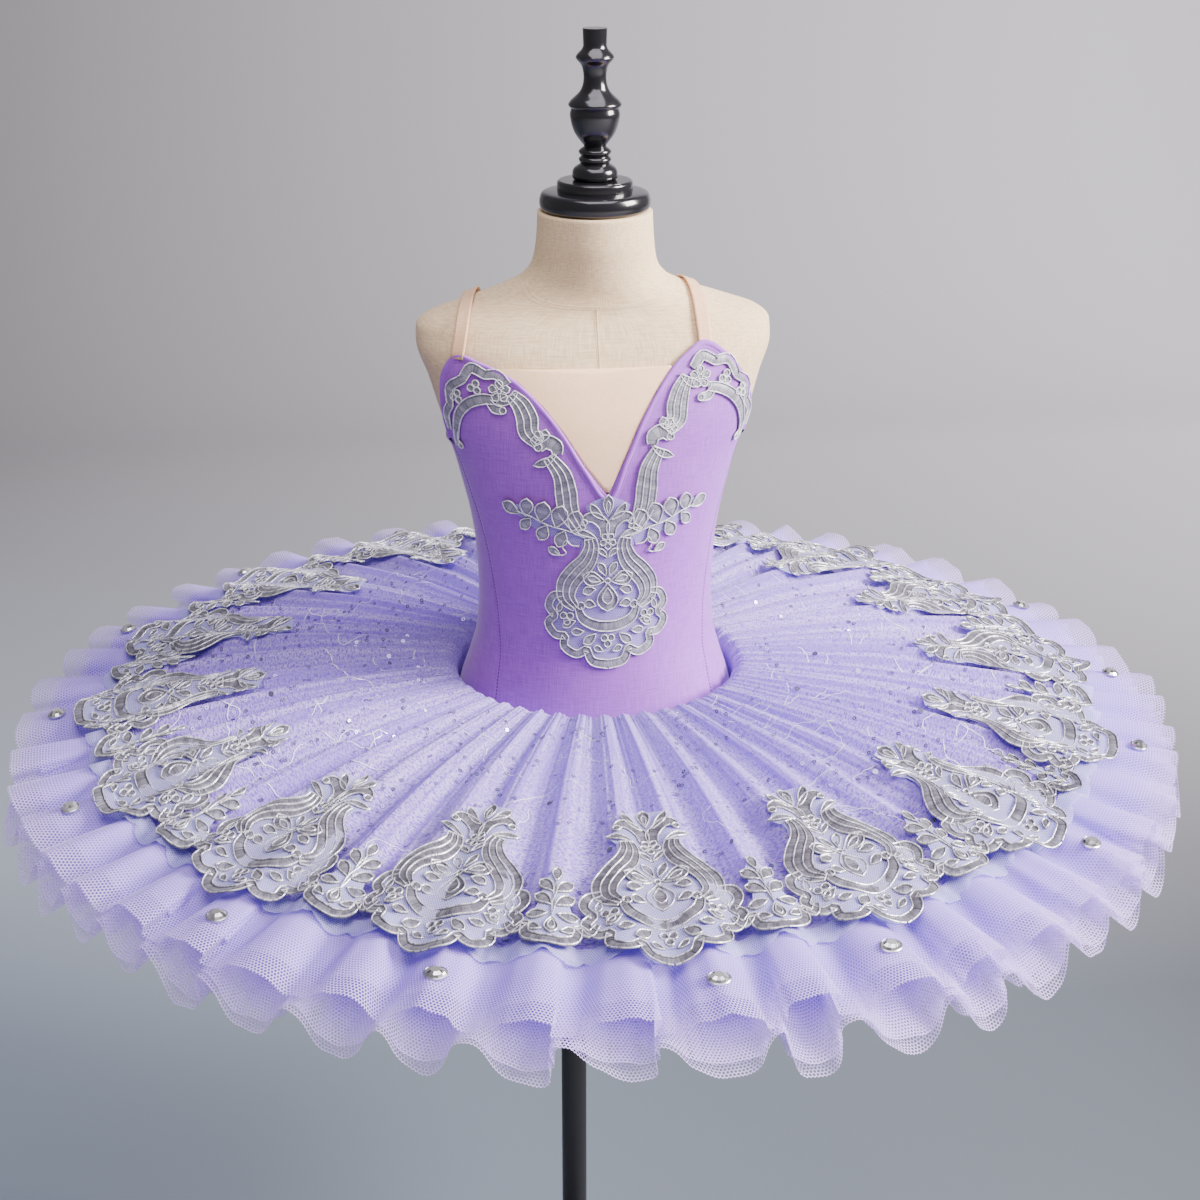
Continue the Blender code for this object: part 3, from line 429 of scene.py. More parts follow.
form_grid = np.array(drawn_in(form_points[0], (0.02, 0.5), FORM_BOTTOM) + list(form_points)
                     + drawn_in(form_points[-1], (0.98, 0.5, 0.02), FORM_TOP))
form_run = np.concatenate([[-0.26, -0.21], form_levels, [0.351, 0.37, 0.39]])
torso = sheet_mesh("linen_torso", form_grid, crossed(form_angles / 180.0 * HALF_GIRTH, form_run),
                   linen, closed=True)
settle(torso, "form_linen", "form_torso")


def blank():
    """An empty flat design: points (x, y, height), flat coordinates, faces and finishes."""
    return {"points": [], "uvs": [], "faces": [], "kinds": []}


def lay_grid(design, points, uvs, kind, closed=False, turned=False):
    """Add a grid of points, rows by columns; closed joins its ends, turned faces it about."""
    rows, columns = points.shape[:2]
    first = sum(map(len, design["points"]))
    index = first + np.arange(rows * columns).reshape(rows, columns)
    if closed:
        index = np.vstack([index, index[:1]])
    faces = corners_of(index).reshape(-1, 4)
    design["points"].append(points.reshape(-1, 3))
    design["uvs"].append(uvs.reshape(-1, 2))
    design["faces"].append(faces[:, [0, 3, 2, 1]] if turned else faces)
    design["kinds"].append(np.full(len(faces), kind))


def right_of(path, closed=False):
    """The direction to the right of a flat path, at each of its points."""
    run = np.roll(path, -1, 0) - np.roll(path, 1, 0) if closed else np.gradient(path, axis=0)
    return unit(run)[:, ::-1] * (1.0, -1.0)


EDGE_ACROSS = 0.001           # flat coordinate of a strip's edges, whatever its width


def lay_strip(design, path, half_width, profile, kind, closed=False, lift=0.0):
    """A strip along a flat path, in metres; profile rows are (share of half width, height)."""
    path = np.array(path, float)
    half_width = np.broadcast_to(np.asarray(half_width, float), len(path))
    shares, heights = np.array(profile, float).T
    spots = (path[:, None, :]
             + right_of(path, closed)[:, None, :] * (half_width[:, None] * shares)[..., None])
    tall = np.broadcast_to(heights + lift, spots.shape[:2])
    lay_grid(design, np.dstack([spots, tall]),
             crossed(shares * EDGE_ACROSS, run_lengths(path))[..., ::-1], kind, closed)


def drape(name, design, place, finishes):
    """An object from a flat design, laid on a surface by place(x, y, height)."""
    points, uvs, faces = (np.vstack(design[part]) for part in ("points", "uvs", "faces"))
    return cloth_piece(name, place(*points.T), faces, uvs[faces], finishes,
                       np.concatenate(design["kinds"]))


def on_form_flat(stand_off):
    """Laying on the form: x is along the girth from the centre front, y is the level."""
    return lambda x, y, height: on_form(girth_angle(x, y), y, stand_off + height)


# Pressed-open seams of the cover: two low ridges with the seam line sunk between them.
SEAM_RIDGE, SEAM_GROOVE = 0.00034, -0.0001
SEAM_HALF, RIDGE_AT, SEAM_SHADE_HALF = 0.0015, 0.0007, 0.00035
CENTRE_SEAM_X, CENTRE_SEAM_LEVELS = -0.004, (0.235, 0.286)
NECK_SEAM_LEVEL, NECK_SEAM_DIP = 0.303, 0.0165
# A matt strip darker than the linen down the seam line: painted shade in its groove, over the
# seam's stitching.
seam_shadow = new_finish("linen_seam_painted_shade", "#97805f", 0.9)[0]
form_seams = blank()
centre_line = [(CENTRE_SEAM_X, level) for level in np.linspace(*CENTRE_SEAM_LEVELS, 40)]
lay_strip(form_seams, centre_line, SEAM_HALF,
          ((-1, 0), (-0.5, SEAM_RIDGE), (0, SEAM_GROOVE), (0.5, SEAM_RIDGE), (1, 0)), 0)
# The seam's painted shade: a narrow dark strip along its groove.
lay_strip(form_seams, centre_line, SEAM_SHADE_HALF, ((-1, 0.00012), (0, 0.0003), (1, 0.00012)), 1)
seams = drape("cover_centre_seam", form_seams, on_form_flat(0.0), [linen, seam_shadow])
settle(seams, "form_linen")

neck_turns = np.linspace(-179.0, 179.0, 180)
neck_levels = (NECK_SEAM_LEVEL
               - NECK_SEAM_DIP * np.maximum(0.0, np.cos(np.radians(neck_turns))) ** 1.5)
ring_points = np.array([on_form(neck_turns, neck_levels + rise, height) for rise, height in (
    (-SEAM_HALF, 0.0), (-RIDGE_AT, SEAM_RIDGE), (0.0, SEAM_GROOVE), (RIDGE_AT, SEAM_RIDGE),
    (SEAM_HALF, 0.0))])
neck_ring = sheet_mesh("cover_neck_seam", ring_points,
                       crossed(np.linspace(0, 0.3, 180), np.linspace(0, 0.003, 5)), linen)
settle(neck_ring, "form_linen")


# ------------------------------------------------------------------ neck cap and finial
# Turned wood under black gloss lacquer, one cap over the neck and a vase-shaped handle screwed
# into it. Gloss lacquer mirrors the lamps as small hard highlights.
def curve_through(points, steps):
    """Catmull-Rom curve through points, as an array, with a number of steps in each span."""
    spots = np.array(points, float)
    if len(spots) < 3:
        share = np.linspace(0.0, 1.0, steps + 1)[:, None]
        return spots[0] * (1 - share) + spots[-1] * share
    spots = np.vstack([2 * spots[0] - spots[1], spots, 2 * spots[-1] - spots[-2]])
    share = np.linspace(0.0, 1.0, steps, endpoint=False)[:, None]
    made = []
    for a, b, c, d in zip(spots, spots[1:], spots[2:], spots[3:]):
        made.append(0.5 * (2 * b + (c - a) * share + (2 * a - 5 * b + 4 * c - d) * share**2
                           + (3 * b - a - 3 * c + d) * share**3))
    return np.vstack(made + [spots[-2:-1]])


def sharp_smooth(profile, steps=5):
    """A curve through profile points; a point given twice stays a sharp corner."""
    runs, run = [], [profile[0]]
    for before, here in zip(profile, profile[1:]):
        if here == before:
            runs.append(run)
            run = []
        run.append(here)
    return np.vstack([curve_through(run, steps) for run in runs + [run]])


black_lacquer = new_finish("black_gloss_lacquer", "#131216", 0.2, Coat_Weight=0.4,
                           Coat_Roughness=0.05)[0]
# radius and level, in millimetres
CAP_PROFILE = [(0, 350.3), (36, 350.3), (36, 350.3), (39.2, 351.5), (40.5, 355.6), (39.8, 360.5),
               (37.2, 363.5), (27.5, 364.5), (27.5, 364.5), (27.5, 370), (26.2, 371.6),
               (23, 372), (0, 372)]
FINIAL_PROFILE = [(0, 372.3), (15, 372.3), (15, 372.3), (16.5, 374.5), (15.5, 380), (10.5, 383.8),
                  (10.5, 383.8), (11.8, 386.8), (10, 389), (10, 389), (11.8, 392.5), (7.8, 396),
                  (7.8, 396), (15, 406), (18, 417), (17.2, 422.5), (17.2, 422.5), (19.2, 425.2),
                  (17.2, 428.5), (17.2, 428.5), (10.5, 435), (8.2, 443), (9.5, 452),
                  (13.8, 458), (9.5, 463.5), (8.4, 466), (8.4, 466), (8.8, 478), (8.8, 478),
                  (0, 478)]
MM = 0.001
for name, node, profile in (("turned_cap", "neck_cap", CAP_PROFILE),
                            ("turned_finial", "finial", FINIAL_PROFILE)):
    rows = (sharp_smooth(profile, 4) * MM + (0.0, OPENING_HEIGHT)).tolist()
    settle(turn_on_lathe(name, rows, (0.0, 0.0), black_lacquer), "cap_black", node)

# ------------------------------------------------------------------ leotard
# Lilac stretch jersey in a front, two sides and a back, joined by overlocked princess seams
# with a row of fine stitches beside each. A nude mesh insert fills the V.
CLOTH_WALL = 0.0012
BODICE_STAND_OFF = 0.0012
OUTSIDE = BODICE_STAND_OFF + CLOTH_WALL
LEOTARD_LEVEL = -0.0250
SEAM_TURN = 0.25              # degrees between two panels, under their seam
FRONT_SEAM, BACK_SEAM = 50.0, 118.0
UNDERARM_LEVEL = 0.1895
# Along the girth from the centre front, level; the wearer's right is negative.
NECKLINE = (
    (-0.1310, 0.1900), (-0.1300, 0.2100), (-0.1245, 0.2330), (-0.1170, 0.2470),
    (-0.1060, 0.2560), (-0.0900, 0.2515), (-0.0770, 0.2465), (-0.0615, 0.2375),
    (-0.0445, 0.2205), (-0.0305, 0.2020), (-0.0165, 0.1790), (0.0000, 0.1570),
    (0.0125, 0.1840), (0.0235, 0.2085), (0.0355, 0.2290), (0.0485, 0.2460),
    (0.0630, 0.2575), (0.0750, 0.2620), (0.0905, 0.2535), (0.1060, 0.2375),
    (0.1180, 0.2200), (0.1250, 0.2040), (0.1250, 0.1900),
)
RIGHT_PEAK, LEFT_PEAK = NECKLINE[4], NECKLINE[17]
INSERT_FIRST, INSERT_END = 6, 16
BACK_NECK = ((118.0, 0.1780), (128.0, 0.1775), (140.0, 0.1740), (150.0, 0.1670),
             (160.0, 0.1590), (170.0, 0.1540), (180.0, 0.1520))
BACK_NECK_LEVEL = BACK_NECK[0][1]

# Jersey: a close knit whose fine courses run round the body, with a soft sheen at the edges.
JERSEY_COURSE, JERSEY_RUN, JERSEY_DEPTH = 0.0007, 0.014, 0.00007
jersey = woven_finish("lilac_stretch_jersey", "#a75bcd", "#9047ba", 0.62, JERSEY_COURSE,
                      JERSEY_RUN, JERSEY_DEPTH, Sheen_Weight=0.35, Sheen_Roughness=0.4)
# Stretch mesh: a knit so fine that it reads as a matt film.
MESH_LOOP, MESH_RUN, MESH_DEPTH = 0.0006, 0.006, 0.00005
nude_mesh = woven_finish("nude_stretch_mesh", "#ffd6ad", "#f5c99c", 0.7, MESH_LOOP, MESH_RUN,
                         MESH_DEPTH, Sheen_Weight=0.2)


def arc_of(angle, level):
    """Distance round the girth from the centre front to an angle, at a level."""
    angle, level = np.broadcast_arrays(np.asarray(angle, float), np.asarray(level, float))
    row = ((level - FORM_BOTTOM) / (arc_levels[1] - arc_levels[0])).round()
    row = np.clip(row, 0, ARC_ROWS - 1).astype(int)
    turn = (angle + 180.0) % 360.0 - 180.0
    low = np.clip(np.abs(turn).astype(int), 0, ARC_STEPS - 1)
    part = np.minimum(np.abs(turn) - low, 1.0)
    arc = arc_lengths[row, low] * (1 - part) + arc_lengths[row, low + 1] * part
    return np.where(angle > 179.99, 2 * arc_lengths[row, -1] - arc, np.copysign(arc, turn))


def panel(name, low_edge, high_edge, rows, columns, finish):
    """Cloth between two edges on the form, each rows of (degrees, level)."""
    share = np.linspace(0.0, 1.0, columns)
    low, high = (np.stack([np.interp(share, np.linspace(0.0, 1.0, len(edge)), column)
                           for column in np.transpose(edge)], -1)
                 for edge in (low_edge, high_edge))
    up = np.linspace(0.0, 1.0, rows)[:, None, None]
    spots = low * (1 - up) + high * up
    points = on_form(spots[..., 0], spots[..., 1], BODICE_STAND_OFF)
    uvs = np.stack([arc_of(spots[..., 0], spots[..., 1]), spots[..., 1]], -1)
    return sheet_mesh(name, points, uvs, finish, wall=CLOTH_WALL)


def declare_stretched(piece):
    """Read a piece's flat coordinates, four corners to a face; nothing is done with them."""
    uv = np.zeros(len(piece.data.loops) * 2)
    piece.data.uv_layers["cloth"].data.foreach_get("uv", uv)
    uv = uv.reshape(-1, 4, 2)


neck_edge = [(float(girth_angle(arc, level)), level) for arc, level in NECKLINE]
front_low = [(a, LEOTARD_LEVEL) for a in np.linspace(-FRONT_SEAM, FRONT_SEAM, len(NECKLINE))]
front = panel("leotard_front", front_low, neck_edge, 60, 89, jersey)
settle(front, "leotard_jersey", "bodice_front")
for side, side_name, (top_angle, _) in ((-1, "right", neck_edge[0]), (1, "left", neck_edge[-1])):
    back_angle = side * (BACK_SEAM - SEAM_TURN)
    low = [(a, LEOTARD_LEVEL) for a in
           np.linspace(side * (FRONT_SEAM + SEAM_TURN), back_angle, 8)[::side]]
    high = np.stack([np.linspace(top_angle + side * SEAM_TURN, back_angle, 8),
                     np.linspace(UNDERARM_LEVEL, BACK_NECK_LEVEL, 8)], -1)[::side]
    piece = panel("leotard_side_" + side_name, low, high, 50, 36, jersey)
    settle(piece, "leotard_jersey", "bodice_side_" + side_name)
    declare_stretched(piece)
back_high = list(BACK_NECK) + [(360.0 - a, l) for a, l in BACK_NECK[-2::-1]]
back = panel("leotard_back", [(a, LEOTARD_LEVEL) for a, _ in back_high], back_high, 44, 73, jersey)
settle(back, "leotard_jersey", "bodice_back")


MITRE_LIMIT = 0.35            # a sharp corner moves no further than this allows


def moved_neckline(shift):
    """Neckline points moved into the cloth by a distance, as (along the girth, level)."""
    spots = np.array(NECKLINE)
    into = unit(np.diff(spots, axis=0))[:, ::-1] * (1.0, -1.0)
    before = np.vstack([into[:1], into])
    mitre = unit(before + np.vstack([into, into[-1:]]))
    size = shift / np.maximum((mitre * before).sum(1), MITRE_LIMIT)
    return spots + mitre * size[:, None]


INSERT_GAP, INSERT_TOP, INSERT_SPAN = 0.0004, 0.2470, (-0.0765, 0.0477)
insert_low = moved_neckline(-INSERT_GAP)[INSERT_FIRST:INSERT_END]
insert_top = np.stack([np.linspace(*INSERT_SPAN, 10), np.full(10, INSERT_TOP)], -1)
insert = panel("nude_insert", *(np.stack([girth_angle(*edge.T), edge[:, 1]], -1)
                                for edge in (insert_low, insert_top)), 20, 49, nude_mesh)
settle(insert, "nude_mesh", "neck_insert")
declare_stretched(insert)

# Folded edges: the jersey is turned under elastic and stitched down, 5 mm wide.
FOLD_HALF, FOLD_SINK = 0.0026, 0.0001
FOLD = ((-1.0, 0.0), (-0.92, 0.0012), (-0.45, 0.0017), (0.05, 0.0013), (0.42, 0.0008),
        (0.55, 0.0004), (0.68, 0.0008), (1.0, 0.0001))
top_path = curve_through([(neck_edge[-1][0] + SEAM_TURN, UNDERARM_LEVEL)] + back_high
                         + [(360.0 + neck_edge[0][0] - SEAM_TURN, UNDERARM_LEVEL)], 8)
folds = []
for name, path in (("neckline_fold", curve_through(moved_neckline(FOLD_HALF), 7)),
                   ("back_edge_fold", np.stack([arc_of(*top_path.T),
                                                top_path[:, 1] - FOLD_HALF], -1))):
    fold = blank()
    lay_strip(fold, path, FOLD_HALF, FOLD, 0)
    folds.append(drape(name, fold, on_form_flat(OUTSIDE - FOLD_SINK), [jersey]))
folded_edge, folded_back = folds
settle(folded_edge, "leotard_jersey", "neck_binding")
settle(folded_back, "leotard_jersey")
declare_stretched(back)

# Princess seams: a narrow overlocked ridge with a row of stitches in its groove, in a satiny
# polyester thread that is darker than the jersey.
seam_thread = new_finish("purple_polyester_thread", "#382159", 0.5)[0]
SEAM = ((-1.0, 0.0), (-0.35, 0.0003), (0.0, -0.0003), (0.35, 0.0003), (1.0, 0.0))
STITCH = ((-1.0, 0.0), (0.0, 0.00045), (1.0, 0.0))
RIDGE_HALF, RIDGE_END = 0.0012, 0.003
STITCH_STEP, STITCH_LENGTH, STITCH_HALF, STITCH_OFFSET = 0.0026, 0.0015, 0.00055, 0.0004
FIRST_STITCH, LAST_STITCH = 0.002, 0.008  # from the seam's foot and its head
princess = blank()
for angle_low, angle_high, level_high in (
        (-FRONT_SEAM, neck_edge[0][0], UNDERARM_LEVEL),
        (FRONT_SEAM, neck_edge[-1][0], UNDERARM_LEVEL),
        (BACK_SEAM, BACK_SEAM, BACK_NECK_LEVEL),
        (360 - BACK_SEAM, 360 - BACK_SEAM, BACK_NECK_LEVEL)):
    levels = np.linspace(LEOTARD_LEVEL, level_high - RIDGE_END, 60)
    line = np.stack([arc_of(np.linspace(angle_low, angle_high, 60), levels), levels], -1)
    lay_strip(princess, line, RIDGE_HALF, SEAM, 0)
    for start in np.arange(LEOTARD_LEVEL + FIRST_STITCH, level_high - LAST_STITCH, STITCH_STEP):
        dash = np.linspace(start, start + STITCH_LENGTH, 3)
        spots = np.stack([np.interp(dash, levels, line[:, 0]) + STITCH_OFFSET, dash], -1)
        lay_strip(princess, spots, STITCH_HALF, STITCH, 1)
seam_lines = drape("princess_seams", princess, on_form_flat(OUTSIDE), [jersey, seam_thread])
settle(seam_lines, "leotard_jersey")

# Straps: nude elastic, 10 mm wide, stitched inside the peaks and the back. Ribs run along it.
STRAP_WIDTH, STRAP_WALL, STRAP_GAP, STRAP_EDGE = 0.0102, 0.0010, 0.0004, 0.0002
STRAP_BACK_X, STRAP_BACK_LEVEL = 0.066, 0.1782
STRAP_DROP = 0.004            # how far below the peak it begins
SHOULDER_MIDDLE, SHOULDER_REACH = (0.010, OPENING_HEIGHT + 0.225), 0.11


def inside_form(point):
    """Below zero inside the form."""
    half_width, half_depth, centre, power = form_section(point[2] - OPENING_HEIGHT)
    return (abs(point[0] / half_width) ** power
            + abs((point[1] - centre) / half_depth) ** power - 1.0)


HALVINGS = 26
FRONT_TILTS, BACK_TILTS = (-80.0, 90.0), (90.0, 260.0)


def halve(low, high, is_low):
    """The value at which a test stops being true, between two values."""
    for _ in range(HALVINGS):
        middle = (low + high) / 2
        low, high = (middle, high) if is_low(middle) else (low, middle)
    return low


def over_shoulder(x, tilt):
    """Where a ray from inside the shoulder leaves the form; tilt 0 is forward, 90 is up."""
    start = np.array([x, *SHOULDER_MIDDLE])
    ray = np.array([0.0, -math.cos(math.radians(tilt)), math.sin(math.radians(tilt))])
    return start + ray * halve(0.0, SHOULDER_REACH,
                               lambda reach: inside_form(start + ray * reach) < 0)


def tilt_at(x, level, front):
    """The tilt at which a strap at x reaches a level."""
    return halve(*(FRONT_TILTS if front else BACK_TILTS), lambda tilt: front != bool(
        over_shoulder(x, tilt)[2] - OPENING_HEIGHT > level))


ELASTIC_RIB, RIB_RUN, RIB_DEPTH = 0.0008, 0.009, 0.00008
nude_elastic = woven_finish("nude_ribbed_elastic", "#e3b992", "#d0a37d", 0.6, ELASTIC_RIB,
                            RIB_RUN, RIB_DEPTH, Sheen_Weight=0.25)
for side, side_name, peak in ((-1, "right", RIGHT_PEAK), (1, "left", LEFT_PEAK)):
    peak_x = float(on_form(girth_angle(*peak), peak[1])[0])
    back_x = side * STRAP_BACK_X
    first = tilt_at(peak_x, peak[1] - STRAP_DROP, True)
    last = tilt_at(back_x, STRAP_BACK_LEVEL, False)
    line = np.array([over_shoulder(peak_x + (back_x - peak_x) * s, first + (last - first) * s)
                     for s in np.linspace(0.0, 1.0, 49)])
    slope = unit(np.array([[inside_form(spot + step) - inside_form(spot - step)
                            for step in np.eye(3) * 0.0004] for spot in line]))
    across = unit(np.cross(np.gradient(line, axis=0), slope)) * STRAP_WIDTH / 2
    edges = np.linspace(-1.0, 1.0, 7)
    lift = OUTSIDE + STRAP_GAP + STRAP_EDGE * (np.abs(edges) > 0.9)
    grid = (line[:, None] + across[:, None] * edges[None, :, None]
            + slope[:, None] * lift[None, :, None])
    uvs = crossed(edges * STRAP_WIDTH / 2, run_lengths(line))
    strap = sheet_mesh("elastic_strap_" + side_name, grid[::side], uvs[::side], nude_elastic,
                       wall=STRAP_WALL, side=-1.0)
    settle(strap, "nude_mesh", "strap_" + side_name)
    declare_stretched(strap)

# Panty: front and back cut high at the leg, with a gusset between them that passes beside the
# pole and is sewn flat under the form.
LEG_EDGE = ((90.0, -0.0900), (80.0, -0.0930), (70.0, -0.1000), (60.0, -0.1110), (50.0, -0.1240),
            (40.0, -0.1370), (30.0, -0.1470), (21.0, -0.1530), (12.0, -0.1550))
GUSSET_X, GUSSET_WIDTH, GUSSET_COLUMNS = 0.0150, 0.034, 9
PANTY_GAP = 0.0003            # under the leotard's edge
gusset_lean = math.degrees(math.atan2(GUSSET_X, FORM_SECTIONS[0, 2]))
for name, node, middle, sign in (("panty_front_panel", "panty_front", 0.0, 1),
                                 ("panty_back_panel", "panty_back", 180.0, -1)):
    edge = [(-a, level) for a, level in LEG_EDGE] + [(0.0, LEG_EDGE[-1][1])]
    edge += LEG_EDGE[::-1]
    low = [(middle + a + sign * gusset_lean * max(0.0, 1.0 - abs(a) / 90.0), level)
           for a, level in edge]
    low[0] = (middle - 90.0 + SEAM_TURN, low[0][1])
    low[-1] = (middle + 90.0 - SEAM_TURN, low[-1][1])
    high = [(a, LEOTARD_LEVEL - PANTY_GAP) for a in np.linspace(low[0][0], low[-1][0], len(low))]
    piece = panel(name, low, high, 26, 73, jersey)
    settle(piece, "leotard_jersey", node)
    declare_stretched(piece)
gusset_columns = GUSSET_X + np.linspace(-0.5, 0.5, GUSSET_COLUMNS) * GUSSET_WIDTH
gusset_levels = np.linspace(-0.1558, -0.1600, 4)
gusset_half = [(level, OPENING_HEIGHT + level) for level in gusset_levels]
gusset_half.append((FORM_BOTTOM, OPENING_HEIGHT + FORM_BOTTOM - BODICE_STAND_OFF))
gusset_rows = []
for sign, rows in ((-1, gusset_half), (1, gusset_half[::-1])):
    for level, height in rows:
        half_width, half_depth, centre, power = form_section(level)
        reach = half_depth * (1 - np.abs(gusset_columns / half_width) ** power) ** (1 / power)
        gusset_rows.append(np.stack([gusset_columns, centre + sign * (reach + BODICE_STAND_OFF),
                                     np.full(GUSSET_COLUMNS, height)], -1))
gusset_rows = np.array(gusset_rows)
gusset = sheet_mesh("gusset", gusset_rows, crossed(gusset_columns, run_lengths(gusset_rows)),
                    jersey, wall=CLOTH_WALL, side=-1.0)
settle(gusset, "leotard_jersey", "panty_gusset")
declare_stretched(gusset)

# ------------------------------------------------------------------ skirt
# Stiff tulle in four gathered layers: a pleated overlay of sequinned net from the opening to
# the lace, and three waved ruffles below it that end at the rim as a row of open tubes.
WAVES, COLUMNS_PER_WAVE = 50, 24
COLUMNS = WAVES * COLUMNS_PER_WAVE
RIM_RADIUS = 0.450
FRONT_DROOP, DROOP_STARTS, DROOP_REACH = 0.009, 0.11, 0.34
PANTY_STAND_OFF = OUTSIDE + 0.0014
# radius, mean level, half wave height, rings from the panty to the edge
OVERLAY_RINGS = ((0.000, -0.0300, 0.0000), (0.1085, -0.0060, 0.0004), (0.1160, 0.0005, 0.0014),
                 (0.2050, -0.0025, 0.0033), (0.3050, -0.0150, 0.0044), (0.3880, -0.0310, 0.0052))
OVERLAY_EDGE = OVERLAY_RINGS[-1][0]
RUFFLE_RINGS = (
    ((0.000, -0.0420, 0.0000), (0.1180, -0.0090, 0.0004), (0.2450, -0.0140, 0.0010),
     (0.3850, -0.0345, 0.0055), (RIM_RADIUS, -0.0450, 0.0090)),
    ((0.000, -0.0540, 0.0000), (0.1250, -0.0150, 0.0004), (0.3860, -0.0475, -0.0050),
     (RIM_RADIUS + 0.002, -0.0650, -0.0095)),
    ((0.000, -0.0660, 0.0000), (0.1320, -0.0210, 0.0004), (0.3870, -0.0535, -0.0060),
     (RIM_RADIUS + 0.005, -0.0700, -0.0135)),
)
WIDTH_SPREAD, FIRST_WAVE = 0.22, -3.6  # share of a wave's width; degrees from the front
draw = random.Random(11)
widths = [1.0 + WIDTH_SPREAD * draw.uniform(-1, 1) for _ in range(WAVES)]
wave_starts = FIRST_WAVE + 360.0 * np.concatenate([[0.0], np.cumsum(widths)]) / sum(widths)
crests = np.array([draw.uniform(0.82, 1.12) for _ in range(WAVES)])
troughs = np.array([draw.uniform(0.90, 1.04) for _ in range(WAVES)])
# Each wave's own way of rounding: how wide its tube is, how far it turns in under its flanks,
# how it leans, hangs and reaches out.
WAYS = ((0.45, 1.5), (0.3, 1.4), (-0.30, 0.06), (-0.7, 1.0), (-1.0, 1.0))
wave_ways = np.array([[draw.uniform(*span) for span in WAYS] for _ in range(WAVES)])
TUBE_STARTS, TUBE_POWER = 0.30, 1.3  # radius at which waves begin to round into tubes, and how
NOTCH = 0.004                 # how far the edge draws in between two tubes
TUBE_WIDENS, TUBE_CURLS = 0.10, 0.075  # how far flanks move out and under, in waves
HANG = 0.006                  # how far a crest of the lower ruffles hangs
EDGE_STARTS, EDGE_DEPTH = 0.36, 0.09  # where the cut edge's unevenness begins, and over how much
EDGE_RAGGED, EDGE_WANDER = 0.0018, 0.0035
SLOW_CRINKLE = 0.0011         # height of the slower folds near the rim
EDGE_RATES, SLOW_RATES, FINE_RATES = (9, 60), (70, 170), (150, 420)  # folds round the skirt
KNEE = (0.985, 0.985, 0.45)   # where the net turns from the panty to the skirt, of the opening
GLOW = 0.45                   # share of the light that comes through
NET_SOFT = 0.07               # softness of a hole's edge, in pitches


def let_light_through(tree, shader, through):
    """Thin cloth that also glows with the light behind it."""
    glow = add_node(tree, "BsdfTranslucent", {"Color": through})
    return add_node(tree, "MixShader", {0: GLOW, 1: shader, 2: glow})


def net_finish(name, colour, dark, through, pitch, hole, fill, veil, single=None):
    """Hexagonal net: threads that let light through, round staggered holes.

    hole is its size in pitches. dark is the colour painted in it: painted shade that stands for
    the deeper plies below, and fill is how much of the hole that painted colour closes. veil is
    how much a thread hides. single is where the plies below end, two radii between which the holes
    clear.
    """
    made, tree, shader = new_finish(name, colour, 0.75, Sheen_Weight=0.7, Sheen_Roughness=0.3,
                                    Sheen_Tint="#e2d6ff")
    root = math.sqrt(3.0)
    at = on_cloth(tree, pitch, pitch * root)
    away = []
    for shift in (0.0, 0.5):
        spot = at
        for operation, by in (("ADD", (shift, shift, 0.0)), ("FRACTION", None),
                              ("ADD", (-0.5, -0.5, 0.0)), ("MULTIPLY", (1.0, root, 0.0)),
                              ("LENGTH", None)):
            spot = add_node(tree, "VectorMath", {0: spot, 1: by} if by else {0: spot},
                            operation=operation)
        away.append(spot)
    nearest = add_node(tree, "Math", {0: away[0], 1: away[1]}, operation="MINIMUM")
    thread = add_node(tree, "MapRange", {"Value": nearest, "From Min": hole - NET_SOFT,
                                         "From Max": hole + NET_SOFT},
                      interpolation_type="SMOOTHSTEP")
    set_inputs(shader, {"Base Color": add_node(tree, "Mix", {0: thread, 6: dark, 7: colour},
                                               data_type="RGBA")})
    # Closed holes show the painted dark: painted shade for the plies below.
    closed = fill
    if single:
        place = add_node(tree, "TexCoord", {}).outputs["Object"]
        level = add_node(tree, "VectorMath", {0: place, 1: (1.0, 1.0, 0.0)}, operation="MULTIPLY")
        radius = add_node(tree, "VectorMath", {0: level}, operation="LENGTH")
        closed = add_node(tree, "MapRange", {"Value": radius, "From Min": single[0],
                                             "From Max": single[1], "To Min": 1.0, "To Max": fill})
    kept = add_node(tree, "Math", {0: thread, 1: veil}, operation="MULTIPLY")
    kept = add_node(tree, "Math", {0: kept, 1: closed}, operation="MAXIMUM")
    seen = add_node(tree, "MixShader", {0: kept, 1: add_node(tree, "BsdfTransparent", {}),
                                        2: let_light_through(tree, shader, through)})
    set_inputs(tree.nodes["Material Output"], {"Surface": seen})
    return made


# Tulle: crisp pale threads; where one ply lies alone the dark shows through its holes, and where
# several lie together its holes are closed and painted a deep even lilac, painted shade for the
# plies below. Its holes are drawn 2.5 mm apart, coarser than they are, so that they show.
TULLE_PITCH, TULLE_HOLE = 0.0025, 0.37
ruffle_net = net_finish("stiff_lilac_tulle", "#dac6ff", "#9678e6", "#d2b9ff", TULLE_PITCH,
                        TULLE_HOLE, fill=0.05, veil=0.98, single=(0.400, 0.444))
pale_net = net_finish("pale_lilac_tulle", "#dfcaff", "#a789e8", "#d8c1ff", TULLE_PITCH,
                      TULLE_HOLE, fill=0.03, veil=0.98, single=(0.385, 0.425))
